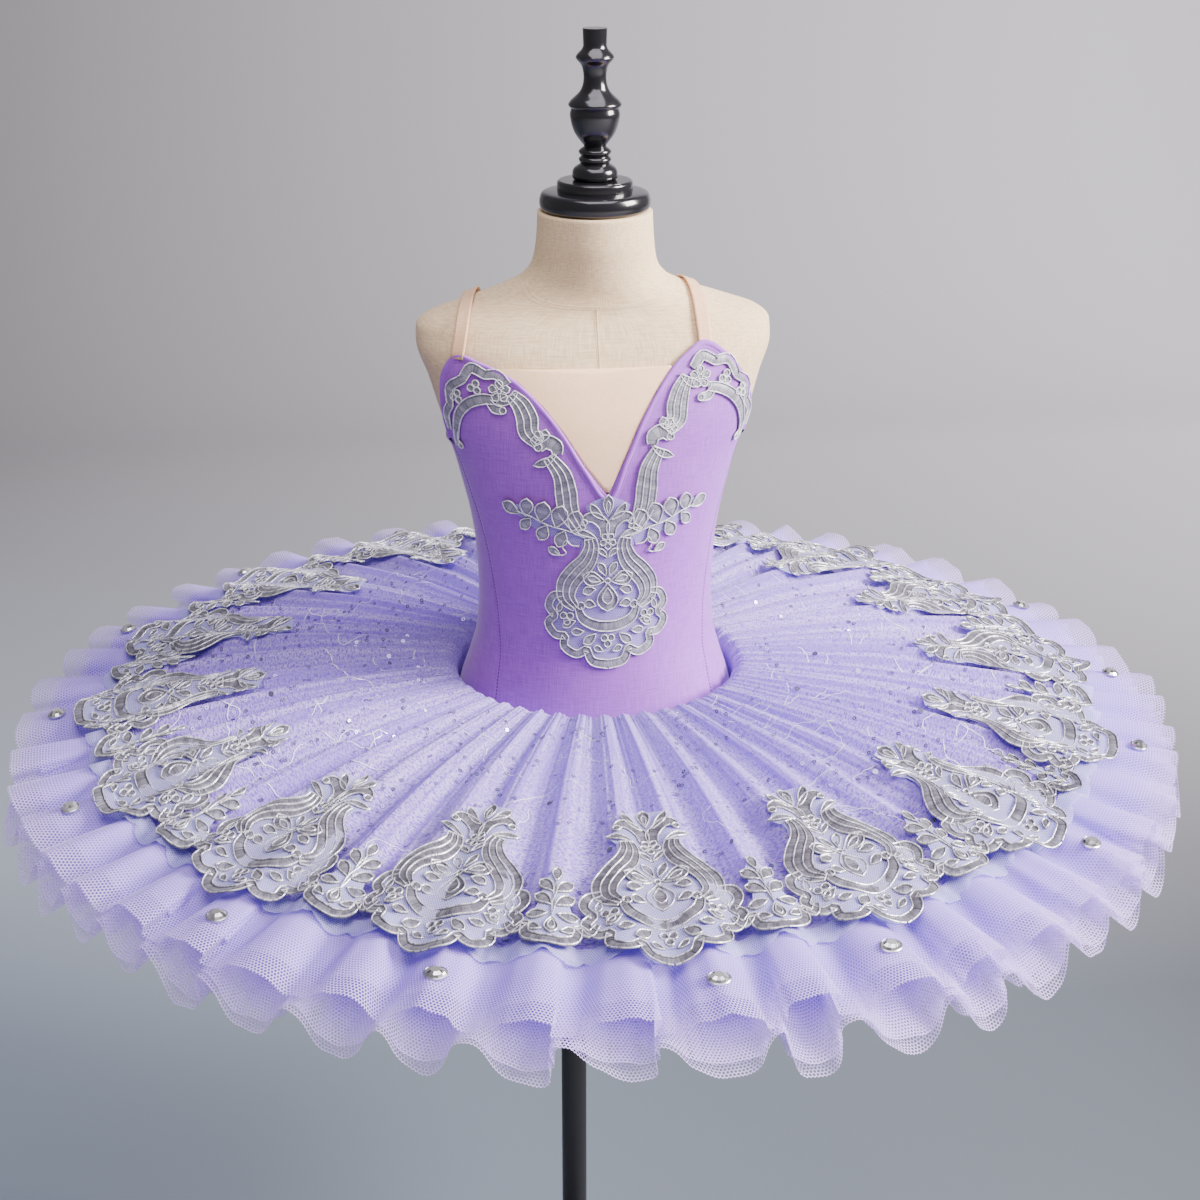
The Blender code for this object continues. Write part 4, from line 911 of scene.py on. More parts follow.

# Overlay net: crumpled, with a grain of short dark dashes across its pale threads, painted shade
# in its holes and crinkles; it lies over so much tulle that nothing is seen through it. Fine
# gathers run out between the pleats, with shade painted deeper into their valleys.
DASH_LENGTH, DASH_WIDTH, DASH_NOISE = 0.0032, 0.0012, (0.41, 0.53)
GATHER_WIDTH, GATHER_LENGTH, GATHER_NOISE = 0.010, 0.35, (0.40, 0.55)
KEPT_UNDER_VALLEY_SHADE = 0.45           # of the crumpled colour that is kept in a gather's valley
GATHER_WEIGHT, CRUMPLE_DEPTH = 2.5, 0.0006
overlay_net, tree, shader = new_finish("crumpled_lilac_overlay_net", "#d3befd", 0.7,
                                       Sheen_Weight=0.25, Sheen_Roughness=0.5)
dashes = add_node(tree, "TexNoise", {"Vector": on_cloth(tree, DASH_LENGTH, DASH_WIDTH),
                                     "Scale": 1.0, "Detail": 2.0, "Distortion": 0.6})
shade = add_node(tree, "MapRange", {"Value": dashes, "From Min": DASH_NOISE[0],
                                     "From Max": DASH_NOISE[1]})
gathers = add_node(tree, "TexNoise", {"Vector": on_cloth(tree, GATHER_WIDTH, GATHER_LENGTH),
                                      "Scale": 1.0, "Detail": 2.5})
valley_painted_shade_share = add_node(tree, "MapRange", {"Value": gathers, "From Min": GATHER_NOISE[0],
                                      "From Max": GATHER_NOISE[1], "To Min": KEPT_UNDER_VALLEY_SHADE})
# Painted shade in the holes and crinkles: short dark dashes.
dashes_painted_shade = add_node(tree, "Mix", {0: shade, 6: "#895cd2", 7: "#dac7ff"}, data_type="RGBA")
# Painted shade, deeper in the valleys of the gathers.
gathers_painted_shade = add_node(tree, "Mix", {0: valley_painted_shade_share, 6: "#8560d0", 7: dashes_painted_shade}, data_type="RGBA")
relief = add_node(tree, "Math", {0: gathers, 1: GATHER_WEIGHT}, operation="MULTIPLY")
relief = add_node(tree, "Math", {0: dashes, 1: relief}, operation="ADD")
set_inputs(shader, {"Base Color": gathers_painted_shade, "Normal": add_node(
    tree, "Bump", {"Height": relief, "Distance": CRUMPLE_DEPTH})})
set_inputs(tree.nodes["Material Output"],
           {"Surface": let_light_through(tree, shader, "#bf9ff6")})


CRINKLE_WAVES = 14
FADE_FROM, FADE_OVER, FADE_TO = 1.3, 0.40, 0.15  # the fine folds flatten towards the rim


def crinkle(seed, angle, radius, rates):
    """Small uneven folds that run out from the gathers: a sum of waves of random rate."""
    pick = random.Random(seed)
    total = np.zeros(np.broadcast(angle, radius).shape)
    for _ in range(CRINKLE_WAVES):
        rate = pick.randint(*rates)
        phase, drift = pick.uniform(0.0, 6.28), pick.uniform(-9.0, 9.0)
        total += np.sin(np.radians(angle) * rate + phase + drift * radius)
    return total / math.sqrt(CRINKLE_WAVES)


def round_points(angle, radius, level):
    """Points at degrees from the front, radius and level; the front droops under its weight."""
    turn = np.radians(angle)
    droop = (FRONT_DROOP * np.maximum(0.0, np.cos(turn)) ** 2
             * (np.maximum(0.0, radius - DROOP_STARTS) / DROOP_REACH) ** 2)
    return np.stack([radius * np.sin(turn), -radius * np.cos(turn),
                     OPENING_HEIGHT + level - droop], -1)


def net_layer(name, rings, radii, finish, seed, reach=0.0, drop=0.0, crease=0.0, deep=1.0,
              tube=1.0, rounded=1.0, crinkles=0.0004, pattern_at=-1, shift=0.0):
    """One ply of gathered net from the panty to its cut edge.

    reach moves its edge outwards, drop lowers it, crease sharpens its crests, deep deepens its
    troughs, tube bends its waves near the rim and rounded widens them into tubes there. The
    pattern keeps its size along the row pattern_at.
    """
    index = np.repeat(np.arange(WAVES), COLUMNS_PER_WAVE)
    after = (index + 1) % WAVES
    share = np.tile(np.arange(COLUMNS_PER_WAVE) / COLUMNS_PER_WAVE, WAVES)
    width = np.diff(wave_starts)[index]
    plain_angle = wave_starts[index] + width * share
    round_wave = np.cos(2 * math.pi * share)
    sharp_wave = 1.0 - 2.0 * np.sin(math.pi * np.minimum(share, 1.0 - share))
    wave = round_wave * (1 - crease) + sharp_wave * crease
    wave = wave * np.where(round_wave < 0, troughs[index] * deep,
                           np.where(share < 0.5, crests[index], crests[after]))
    rings, radii = np.array(rings), np.array(radii)
    level, half_wave = np.split(smooth_rows(rings[1:], np.minimum(radii, rings[-1, 0])), 2, 1)
    wide, twice, lean, _, _ = wave_ways[index].T
    blend = ((1 - np.cos(math.pi * share)) / 2)[:, None]
    _, _, _, hang, out = (wave_ways[index] * (1 - blend) + wave_ways[after] * blend).T
    bend = rounded * (TUBE_WIDENS * wide * np.sin(2 * math.pi * share)
                      + TUBE_CURLS * twice * np.sin(4 * math.pi * share))
    bend += lean * (1 - round_wave) / 2
    turn = np.clip((radii - TUBE_STARTS) / (RIM_RADIUS - TUBE_STARTS), 0.0, 1.0)[:, None]
    turn = turn**TUBE_POWER
    angle = wave_starts[index] + width * (share + tube * turn * bend)
    near_edge = np.clip((radii - EDGE_STARTS) / EDGE_DEPTH, 0.0, 1.0)[:, None]
    ragged = crinkle(seed + 7, plain_angle, 0.0, EDGE_RATES) * EDGE_RAGGED
    notch = NOTCH * (1 - round_wave) / 2
    radius = radii[:, None] + near_edge * (reach + ragged + EDGE_WANDER * out - notch)
    # Only the lower ruffles, whose half wave height is negative, hang.
    under = np.clip(-half_wave / 0.010, 0.0, 1.0)
    level = level + half_wave * wave - drop
    level -= turn**2 * under * HANG * hang * np.maximum(round_wave, 0.0)
    level += turn * crinkle(seed + 3, angle, radius, SLOW_RATES) * SLOW_CRINKLE
    small = crinkle(seed, angle, radius, FINE_RATES) * crinkles
    level = level + small * np.clip(FADE_FROM - radii / FADE_OVER, FADE_TO, 1.0)[:, None]
    outer = round_points(angle, radius, level)
    root = on_form(angle[0], rings[0, 1], PANTY_STAND_OFF - drop)
    knee = outer[0] * KNEE + root * (0.0, 0.0, 1 - KNEE[2])
    steps = np.linspace(0.0, 1.0, 5)[:-1, None, None]
    rise = root * (1 - steps) ** 2 + 2 * knee * steps * (1 - steps) + outer[0] * steps**2
    points = np.concatenate([rise, outer])
    closed = np.concatenate([points, points[:, :1]], 1)
    u, v = run_lengths(closed[pattern_at]), run_lengths(points)
    piece = sheet_mesh(name, points, crossed(u + shift, v + shift * 0.6), finish, closed=True)
    return piece, points, (u[-1], v[-1])


RUFFLE_RADII = [0.1180, 0.16, 0.21, 0.25, 0.28, 0.305, 0.325, 0.343, 0.358, 0.371, 0.383, 0.394,
                0.404, 0.414, 0.424, 0.433, 0.441, 0.448]
RUFFLE_NETS, RUFFLE_CREASES = (ruffle_net, pale_net, pale_net), (0.35, 0.0, 0.0)
RUFFLE_ROUNDING = (0.9, 0.8, 0.55)
PLY_GAP, PLY_STEP = 0.0016, 0.022
PLY_SHIFT, RUFFLE_SHIFT = 0.0011, 0.0006  # between the holes of one net and the next
for number, (rings, net, crease, rounded) in enumerate(zip(
        RUFFLE_RINGS, RUFFLE_NETS, RUFFLE_CREASES, RUFFLE_ROUNDING)):
    first, rim = rings[1][0], rings[-1][0]
    radii = [first] + [r for r in RUFFLE_RADII if r > first + 0.02] + [rim]
    for ply, (ply_name, nodes) in enumerate((("upper", ["ruffle_%d" % (number + 1)]),
                                             ("lower", []))):
        layer, _, size = net_layer(
            "ruffle_%d_%s_ply" % (number + 1, ply_name), rings, radii, net, 40 + number,
            reach=-PLY_STEP * ply, drop=PLY_GAP * ply, crease=crease, rounded=rounded,
            shift=PLY_SHIFT * ply + RUFFLE_SHIFT * number)
        settle(layer, "lilac_net", *nodes)
OVERLAY_RADII = [0.1085, 0.1105, 0.1130, 0.1160, 0.1200, 0.126, 0.134, 0.144, 0.156, 0.17, 0.185,
                 0.20, 0.216, 0.232, 0.248, 0.265, 0.282, 0.30, 0.318, 0.335, 0.352, 0.37,
                 OVERLAY_EDGE]
overlay, overlay_points, overlay_size = net_layer(
    "overlay", OVERLAY_RINGS, OVERLAY_RADII, overlay_net, 71, crease=0.8, deep=1.55, tube=0.3,
    crinkles=0.0007, pattern_at=-4)
settle(overlay, "lilac_net", "skirt_overlay")

# ------------------------------------------------------------------ corded lace
# Applique lace: bands, leaves and petals of silver-grey satin stitch, every edge outlined with a
# bright twisted cord, on a ground of fine pale net. The pieces are cut out and sewn down along
# the edge. The motif is a usual one: a palmette between scrolled bands over a flower, a
# garland and a scalloped border.
CORD_RADIUS, CORD_LIFT = 0.54, 0.35
CORD = ((-1.0, 0.0), (-0.45, 1.0 * MM), (0.45, 1.0 * MM), (1.0, 0.0))
SATIN = ((-1.0, 0.1 * MM), (-0.5, 0.6 * MM), (0.0, 0.8 * MM), (0.5, 0.6 * MM), (1.0, 0.1 * MM))
SATIN_KIND, CORD_KIND, GROUND_KIND = 0, 1, 2


def cord_line(design, path, steps=5, closed=False):
    """A cord along a path in millimetres; a point given twice is a sharp turn."""
    line = path if isinstance(path, np.ndarray) else sharp_smooth(path, steps)
    if closed:
        line = line[:-1]
    lay_strip(design, line * MM, CORD_RADIUS * MM, CORD, CORD_KIND, closed, CORD_LIFT * MM)


def satin_strip(design, line, half_width):
    """A strip of satin stitch along a line in millimetres."""
    lay_strip(design, line * MM, half_width * MM, SATIN, SATIN_KIND)


def edged_band(design, path, half_width, steps, ribs=1, ends=True):
    """A satin band along a path, with cords along its edges and between its ribs."""
    line = sharp_smooth(path, steps)
    widths = np.interp(np.linspace(0.0, 1.0, len(line)),
                       np.linspace(0.0, 1.0, len(half_width)), half_width)
    side = right_of(line) * widths[:, None]
    for rib in range(ribs):
        satin_strip(design, line + side * ((2 * rib + 1) / ribs - 1), widths / ribs)
    for edge in range(ribs + 1):
        cord_line(design, line + side * (2 * edge / ribs - 1))
    if ends:
        for end in (0, -1):
            cord_line(design, line[end] + side[end] * [[-1], [0], [1]])


LEAF_TOWARDS_TIP, LEAF_FULLNESS = 1.35, 0.75
BUD_FILL = (0.5, 0.9, 0.5)
CLOVER_SPREAD = 1.15


def leaf(design, base, tip, width, bend=0.0, steps=7, hollow=False):
    """A satin leaf from base to tip, rounded near the tip, with a cord round it."""
    base, tip = np.array(base, float), np.array(tip, float)
    middle = (base + tip) / 2 + (tip - base)[::-1] * (bend, -bend)
    share = np.linspace(0.0, 1.0, steps)[:, None]
    axis = base * (1 - share) ** 2 + 2 * middle * share * (1 - share) + tip * share**2
    shape = np.sin(math.pi * share**LEAF_TOWARDS_TIP) ** LEAF_FULLNESS * width / 2
    side = right_of(axis) * shape
    if not hollow:
        satin_strip(design, axis, np.maximum(shape[:, 0], 0.1))
    cord_line(design, np.vstack([axis + side, (axis - side)[-2:0:-1], (axis + side)[:1]]),
              closed=True)


def star(design, centre, inner, outer, width, count=5, first=0.0, spread=360.0):
    """Leaves round a centre, from an inner to an outer radius."""
    for number in range(count):
        turn = math.radians(first + spread / count * number)
        base, tip = ((centre[0] + radius * math.sin(turn), centre[1] + radius * math.cos(turn))
                     for radius in (inner, outer))
        leaf(design, base, tip, width, steps=5)


def ring(design, centre, radius, steps=9):
    """A bud: a round of satin stitch with a cord round it."""
    turns = np.linspace(0.0, 2 * math.pi, steps + 1)
    satin_strip(design, np.array(centre) + [[0.0, -radius], [0.0, 0.0], [0.0, radius]],
                np.array(BUD_FILL) * radius)
    cord_line(design, centre + radius * np.stack([np.cos(turns), np.sin(turns)], 1), closed=True)


def clover(design, x, y, radius, turn):
    """Three buds round a point."""
    for petal in range(3):
        around = math.radians(turn + 120 * petal)
        reach = radius * CLOVER_SPREAD
        ring(design, (x + reach * math.sin(around), y - reach * math.cos(around)), radius)


def comma(design, path, half_width, bud=2.6):
    """A curled scroll: a swelling satin band that ends in a round bud."""
    edged_band(design, path, half_width, steps=4, ends=False)
    ring(design, path[-1], bud)


def add_mirror_image(design):
    """Add the design's mirror image on the other side of its middle line."""
    points, uvs, faces = (np.vstack(design[part]) for part in ("points", "uvs", "faces"))
    design["points"].append(points * (-1.0, 1.0, 1.0))
    design["uvs"].append(uvs)
    design["faces"].append(faces[:, ::-1] + len(points))
    design["kinds"].append(np.concatenate(design["kinds"]))


def lay_ground(design, near, far, columns, turned=False):
    """The net ground between two lines in millimetres."""
    share = np.linspace(0.0, 1.0, columns)[None, :, None]
    spots = (near[:, None] * (1 - share) + far[:, None] * share) * MM
    lay_grid(design, np.dstack([spots, np.zeros(spots.shape[:2])]), spots, GROUND_KIND,
             turned=turned)


MOTIF_GROUND = [(0.5, 2), (19, 10), (15, 22), (27, 30), (22, 40), (25, 52), (36, 64), (41, 80),
                (47, 90), (48, 98), (44, 105), (47, 112), (42, 120), (35, 122), (34, 129),
                (26, 133), (18, 132), (13, 139), (0.5, 143)]
BORDER = [(38, 85), (46, 87), (50, 96), (44.5, 104), (44.5, 104), (50.5, 111), (45, 120),
          (36, 121), (36, 121), (37, 130), (27, 136), (18, 132), (18, 132), (13, 142), (0, 145)]
SIDE_BAND = [(15, 38), (14, 46), (18, 57), (27, 67), (34, 77), (34.5, 88), (27, 97)]
GARLAND = [(-25, 97), (-21, 106), (-11, 111.5), (0, 113), (11, 111.5), (21, 106), (25, 97)]


def draw_leaves(design, rows):
    """Leaves from rows of base, tip, width and sometimes bend and steps."""
    for row in rows:
        leaf(design, *row)


def draw_motif(design):
    """The motif, from the tip of its palmette at (0, 0) down to the border at (0, 145)."""
    leaf(design, (2.5, 22), (15, 8), 6.5, -0.14)
    comma(design, [(3, 36), (3.5, 27), (10, 20.5), (17, 20), (20, 24)],
          (3.0, 4.6, 4.6, 3.6, 2.4))
    leaf(design, (9, 38), (28, 31), 4.6, 0.10)
    edged_band(design, SIDE_BAND, (4.8, 6.2, 7.8, 8.8, 8.8, 7.4, 3.4), ribs=3, steps=5)
    draw_leaves(design, (((0.5, 54), (9, 47), 4.2, 0.2), ((1.5, 70), (8, 58.5), 6.2, 0.08),
                         ((2.5, 74), (21, 69), 12.0, -0.10, 9)))
    leaf(design, (6, 74), (17, 70.8), 5.0, hollow=True)
    draw_leaves(design, (((10, 81), (21, 84), 7.0, 0.12), ((10, 95), (20, 93), 7.0, 0.12)))
    ring(design, (22.5, 95), 3.2)
    leaf(design, (39, 91), (42, 101), 4.6)
    clover(design, 34.5, 105.5, 2.9, 60)
    draw_leaves(design, (((27, 108), (38, 114), 6.2, 0.1), ((20, 117), (31, 117), 6.0, -0.1),
                         ((10, 119), (21, 127), 7.4, -0.12), ((4, 134), (12, 130), 5.0)))
    edged_band(design, BORDER, (2.0, 3.0, 3.2, 2.8, 3.2, 3.2, 2.9, 3.2, 3.2, 3.0, 3.4, 3.6),
               steps=4, ends=False)
    add_mirror_image(design)
    leaf(design, (0, 19), (0, 1), 8.5)
    leaf(design, (0, 17), (0, 6), 3.2, hollow=True)
    star(design, (0, 40), 1.2, 7.2, 5.0, spread=-360.0)
    ring(design, (0, 40), 1.5, 6)
    leaf(design, (0, 76), (0, 100), 18.0, steps=9)
    leaf(design, (0, 80), (0, 94), 9.0, hollow=True)
    ring(design, (0, 74), 2.2, 7)
    edged_band(design, GARLAND, (2.6, 3.8, 4.2, 4.4, 4.2, 3.8, 2.6), steps=5, ends=False)
    clover(design, 0, 124.5, 2.9, 180)
    outline = sharp_smooth(MOTIF_GROUND, 2)
    lay_ground(design, outline * (-1.0, 1.0), outline, 7, turned=True)


def draw_link(design):
    """The spray and scallop between two motifs, about its own middle line."""
    draw_leaves(design, (((1, 100), (13, 90), 8.0, 0.08), ((1, 88), (11, 77), 8.0, 0.08)))
    edged_band(design, [(29, 112), (24, 119), (17, 114), (17, 114), (16, 124), (8, 129),
                        (0, 130)], (1.8, 2.8, 2.6, 2.6, 3.0, 3.0, 3.0), steps=4, ends=False)
    draw_leaves(design, (((3, 107), (17, 107), 7.4, -0.1), ((6, 121), (15, 116), 5.4, -0.1)))
    add_mirror_image(design)
    leaf(design, (0, 78), (0, 65), 6.4)
    cord_line(design, [(0, 110), (1, 98), (-1, 88), (0, 77)], 4)
    leaf(design, (0, 110), (0, 124), 9.0)
    leaf(design, (0, 112), (0, 121), 4.4, hollow=True)
    outline = sharp_smooth([(0.5, 66), (7, 76), (9, 90), (12, 103), (24, 114), (16, 122),
                            (0.5, 128)], 2)
    lay_ground(design, outline * (-1.0, 1.0), outline, 5, turned=True)


STITCH_RUN, STITCH_DEPTH = 0.02, 0.00025
STITCH_WEIGHT, STITCH_NOISE = 0.65, (0.62, 1.0)
DULLER_PATCH_SIZE = 0.006          # patches in which a whole run of stitches is duller


def lace_finish(name, colour, dark, roughness, metallic, stitch, edge):
    """Thread laid side by side: bright and dull stitches across the run of a band or cord, their
    glints painted into the colour, with painted shade along the strip's edges.
    """
    made, tree, shader = new_finish(name, colour, roughness, metallic, Sheen_Weight=0.15)
    threads = add_node(tree, "TexNoise", {"Vector": on_cloth(tree, stitch, STITCH_RUN),
                                          "Scale": 1.0, "Detail": 1.0})
    patch = add_node(tree, "TexNoise", {"Vector": on_cloth(tree, DULLER_PATCH_SIZE, DULLER_PATCH_SIZE),
                                        "Scale": 1.0})
    both = add_node(tree, "Math", {0: threads, 1: STITCH_WEIGHT, 2: patch},
                    operation="MULTIPLY_ADD")
    shade = add_node(tree, "MapRange", {"Value": both, "From Min": STITCH_NOISE[0],
                                         "From Max": STITCH_NOISE[1]})
    # Painted shade: the colour darkens towards a strip's edges, for the hollow beside a cord.
    place = add_node(tree, "UVMap", {}, uv_map="cloth")
    across = add_node(tree, "SeparateXYZ", {0: place}).outputs[1]
    away = add_node(tree, "Math", {0: across}, operation="ABSOLUTE")
    hollow = add_node(tree, "MapRange", {"Value": away, "From Min": edge, "From Max": EDGE_ACROSS,
                                         "To Min": 1.0, "To Max": 0.0})
    stitch_glints_and_edge_shade = add_node(tree, "Math", {0: shade, 1: hollow}, operation="MULTIPLY")
    set_inputs(shader, {
        "Base Color": add_node(tree, "Mix", {0: stitch_glints_and_edge_shade, 6: dark, 7: colour}, data_type="RGBA"),
        "Normal": add_node(tree, "Bump", {"Height": threads, "Distance": STITCH_DEPTH})})
    return made


# Grey metallic thread glints across the satin bands, and the twisted cord round them is brighter;
# the glints are painted into the colour as bright and dull stitches, and shade is painted along
# each strip's edges. Stitches and twist are drawn about twice their real spacing, so that they
# show. The ground is a fine net that, laid on tulle, reads as a pale film.
SATIN_THREAD, CORD_TWIST = 0.0011, 0.0016
SATIN_SHADE_EDGE, CORD_SHADE_EDGE = 0.0006, 0.0004
GROUND_PITCH, GROUND_HOLE = 0.0016, 0.26
satin_stitch = lace_finish("silver_grey_satin_stitch", "#827f8d", "#393744", 0.33, 0.42,
                           SATIN_THREAD, SATIN_SHADE_EDGE)
silver_cord = lace_finish("bright_silver_cord", "#eeedf4", "#6b6976", 0.30, 0.35,
                          CORD_TWIST, CORD_SHADE_EDGE)
# Its closed holes are painted a deeper lilac: painted shade of the tulle below.
ground_net = net_finish("pale_lace_ground", "#cfcdf8", "#aaa4ec", "#c6c5f6", GROUND_PITCH,
                        GROUND_HOLE, fill=0.40, veil=0.8)
LACE_FINISHES = (satin_stitch, silver_cord, ground_net)

# A narrow band of fine lace along the overlay's edge, cut in small scallops.
SCALLOP_LENGTH, SCALLOP_DEPTH, BAND_WIDTH = 0.024, 0.0055, 0.010
BAND_ROWS = (0.0, 0.008, 0.013, 0.0155)  # laid flat, from the band's inner edge
scallop_count = round(2 * math.pi * OVERLAY_EDGE / SCALLOP_LENGTH)
bulge = np.abs(np.sin(math.pi * scallop_count * np.arange(COLUMNS) / COLUMNS)) ** 0.6
bulge *= SCALLOP_DEPTH
edge_outward = unit(overlay_points[-1] - overlay_points[-2])
band_points = np.array([
    overlay_points[-1] + edge_outward * reach[:, None] + (0.0, 0.0, lift) for reach, lift in
    ((bulge * 0 - BAND_WIDTH, 0.0010), (bulge * 0 - 0.002, 0.0009), (bulge * 0.75, 0.0007),
     (bulge, 0.0003))])
band_run = run_lengths(np.vstack([band_points[0], band_points[0, :1]]))
edge_band = sheet_mesh("overlay_edge_band", band_points,
                       crossed(band_run, BAND_ROWS), ground_net, closed=True)
settle(edge_band, "silver_lace")

MOTIFS = 16
MOTIF_INNER_RADIUS = 0.255
LACE_LIFT = 0.0012            # above the crests that it lies on
LACE_SAG = 0.55               # how far it follows the pleats down between the crests
LACE_SLOPE = 0.12             # how it comes down from the overlay's edge to the ruffle
skirt_design = blank()
draw_link(skirt_design)
# Links lie half way to the next motif.
for block in skirt_design["points"]:
    block[:, 0] += math.pi / MOTIFS * (MOTIF_INNER_RADIUS + block[:, 1])
draw_motif(skirt_design)


def wave_of(angle):
    """The number of the wave at angles, and the share of it that lies before them."""
    turned = (angle - wave_starts[0]) % 360.0 + wave_starts[0]
    index = np.clip(np.searchsorted(wave_starts, turned, side="right") - 1, 0, WAVES - 1)
    return index, (turned - wave_starts[index]) / np.diff(wave_starts)[index]


MOTIF_REACH = 14.0            # degrees on each side in which crests lift a motif


def on_skirt(middle):
    """Laying on the skirt: x is along the rim from an angle, y runs out from the palmette."""
    near = np.abs((wave_starts[:WAVES] - middle + 180) % 360 - 180) < MOTIF_REACH
    crest = crests[near].max()

    def place(x, y, height):
        radius = MOTIF_INNER_RADIUS + y
        angle = middle + np.degrees(x / radius)
        # It lies on the overlay, or on the top ruffle past the overlay's edge.
        level, wave = smooth_rows(np.array(OVERLAY_RINGS[1:]),
                                  np.minimum(radius, OVERLAY_EDGE)).T
        under, under_wave = smooth_rows(np.array(RUFFLE_RINGS[0][1:]), radius).T
        past = radius > OVERLAY_EDGE
        level = np.where(past, np.maximum(level - LACE_SLOPE * (radius - OVERLAY_EDGE), under),
                         level)
        wave = np.where(past, np.maximum(wave, under_wave), wave)
        sag = LACE_SAG * wave * (1.0 - np.cos(2 * math.pi * wave_of(angle)[1]))
        return round_points(angle, radius, level + wave * crest - sag + LACE_LIFT + height)

    return place


for number in range(MOTIFS):
    motif = drape("skirt_motif_%02d" % (number + 1), skirt_design,
                  on_skirt(360.0 * number / MOTIFS), LACE_FINISHES)
    settle(motif, "silver_lace", "skirt_lace_%02d" % (number + 1))

# Bodice lace: the same motif below the V with a leaf spray on each side, and on each side of
# the V two scrolled bands with buds between them that lead up to a scalloped arc on the cup.
# Upright, satin and cord turn their sheen away from the lamps, so the same lace is given paler
# colours: painted light that stands in for the sheen.
bodice_satin_painted_light = lace_finish("grey_satin_stitch_painted_paler", "#a2a0ab", "#62606d", 0.42, 0.12,
                         SATIN_THREAD, SATIN_SHADE_EDGE)
bodice_cord_painted_light = lace_finish("silver_cord_painted_paler", "#ffffff", "#a19fac", 0.36, 0.05, CORD_TWIST,
                        CORD_SHADE_EDGE)


def sew_on_front(name, design, place, node):
    """Lay a piece of bodice lace on the front."""
    piece = drape(name, design, place, (bodice_satin_painted_light, bodice_cord_painted_light, ground_net))
    settle(piece, "silver_lace", node)


CREST_SCALE, CREST_NARROW = 0.93, 0.85
CREST_TOP = 0.1600
CREST_STAND_OFF = NECK_STAND_OFF = OUTSIDE + 0.0006
CUP_STAND_OFF = OUTSIDE + 0.0007
CREST_CLIMB, CREST_CLIMB_LENGTH = 0.0016, 0.02  # over the folded edge at its top
crest_design = blank()
cord_line(crest_design, [(19, 37), (34, 31), (50, 27), (66, 20), (78, 17)], 4)
draw_leaves(crest_design, (
    ((31, 32), (25, 14), 13.0), ((44, 29), (38, 10), 14.0), ((57, 25), (53, 7), 13.4),
    ((69, 21), (68, 5), 11.4), ((75, 19), (90, 11), 10.4), ((36, 31), (42, 45), 11.0),
    ((51, 27), (58, 40), 11.0), ((65, 22), (74, 32), 9.4)))
cord_line(crest_design, [(24, 44), (31, 43), (35, 39), (38, 45), (35, 50), (40, 52), (45, 48)], 4)
leaf(crest_design, (40, 52), (50, 46), 6.4)
lay_ground(crest_design, np.array([(22, 38), (29, 20), (50, 13), (78, 11)], float),
           np.array([(24, 44), (42, 38), (60, 32), (78, 20)], float), 4)
draw_motif(crest_design)


def crest_on_bodice(x, y, height):
    """x across and y down from the palmette's tip; the piece climbs over the folded edge."""
    level = CREST_TOP - y * CREST_SCALE
    climb = CREST_CLIMB * np.clip(1.0 - (y - 0.004) / CREST_CLIMB_LENGTH, 0.0, 1.0)
    return on_form(girth_angle(-x * CREST_NARROW, level), level, CREST_STAND_OFF + climb + height)


sew_on_front("bodice_crest", crest_design, crest_on_bodice, "bodice_lace_crest")

# Neck pieces, in millimetres along the girth from the centre front and in level: the lower and
# the upper band, each from its foot to its head, and the two buds between them.
for side_name, side, bands, (bud_x, bud_y), (fan_x, fan_y) in (
        ("right", -1, ([(-20, 131), (-28, 146), (-30, 160), (-33, 174), (-42, 187)],
                       [(-49, 197), (-56, 205), (-57, 214), (-61, 223), (-68, 230)]),
         (-43, 191), (-46, 197)),
        ("left", 1, ([(19, 131), (26, 147), (28, 162), (30, 177), (37, 191)],
                     [(43, 203), (50, 211), (51, 220), (54, 230), (59, 239)]),
         (39, 196), (42, 203))):
    design = blank()
    for band in bands:
        edged_band(design, band, (4.6, 7.2, 7.6, 6.4, 4.2), ribs=3, steps=5)
        x, y = band[-1]
        leaf(design, (x - side * 5.5, y + 2.0), (x + side * 11, y - 6.5), 5.6, side * 0.16)
    comma(design, [(bud_x - side * 7, bud_y - 2), (bud_x - side * 6, bud_y + 4),
                   (bud_x + side * 1, bud_y + 7), (bud_x + side * 6.5, bud_y + 3)],
          (3.4, 4.8, 5.0, 3.8), bud=2.8)
    star(design, (fan_x, fan_y + 1), 0, 9, 6.6, 3, side * 35 - 50, 150)
    sew_on_front("neck_lace_" + side_name, design, on_form_flat(NECK_STAND_OFF),
                 "bodice_lace_neck_" + side_name)

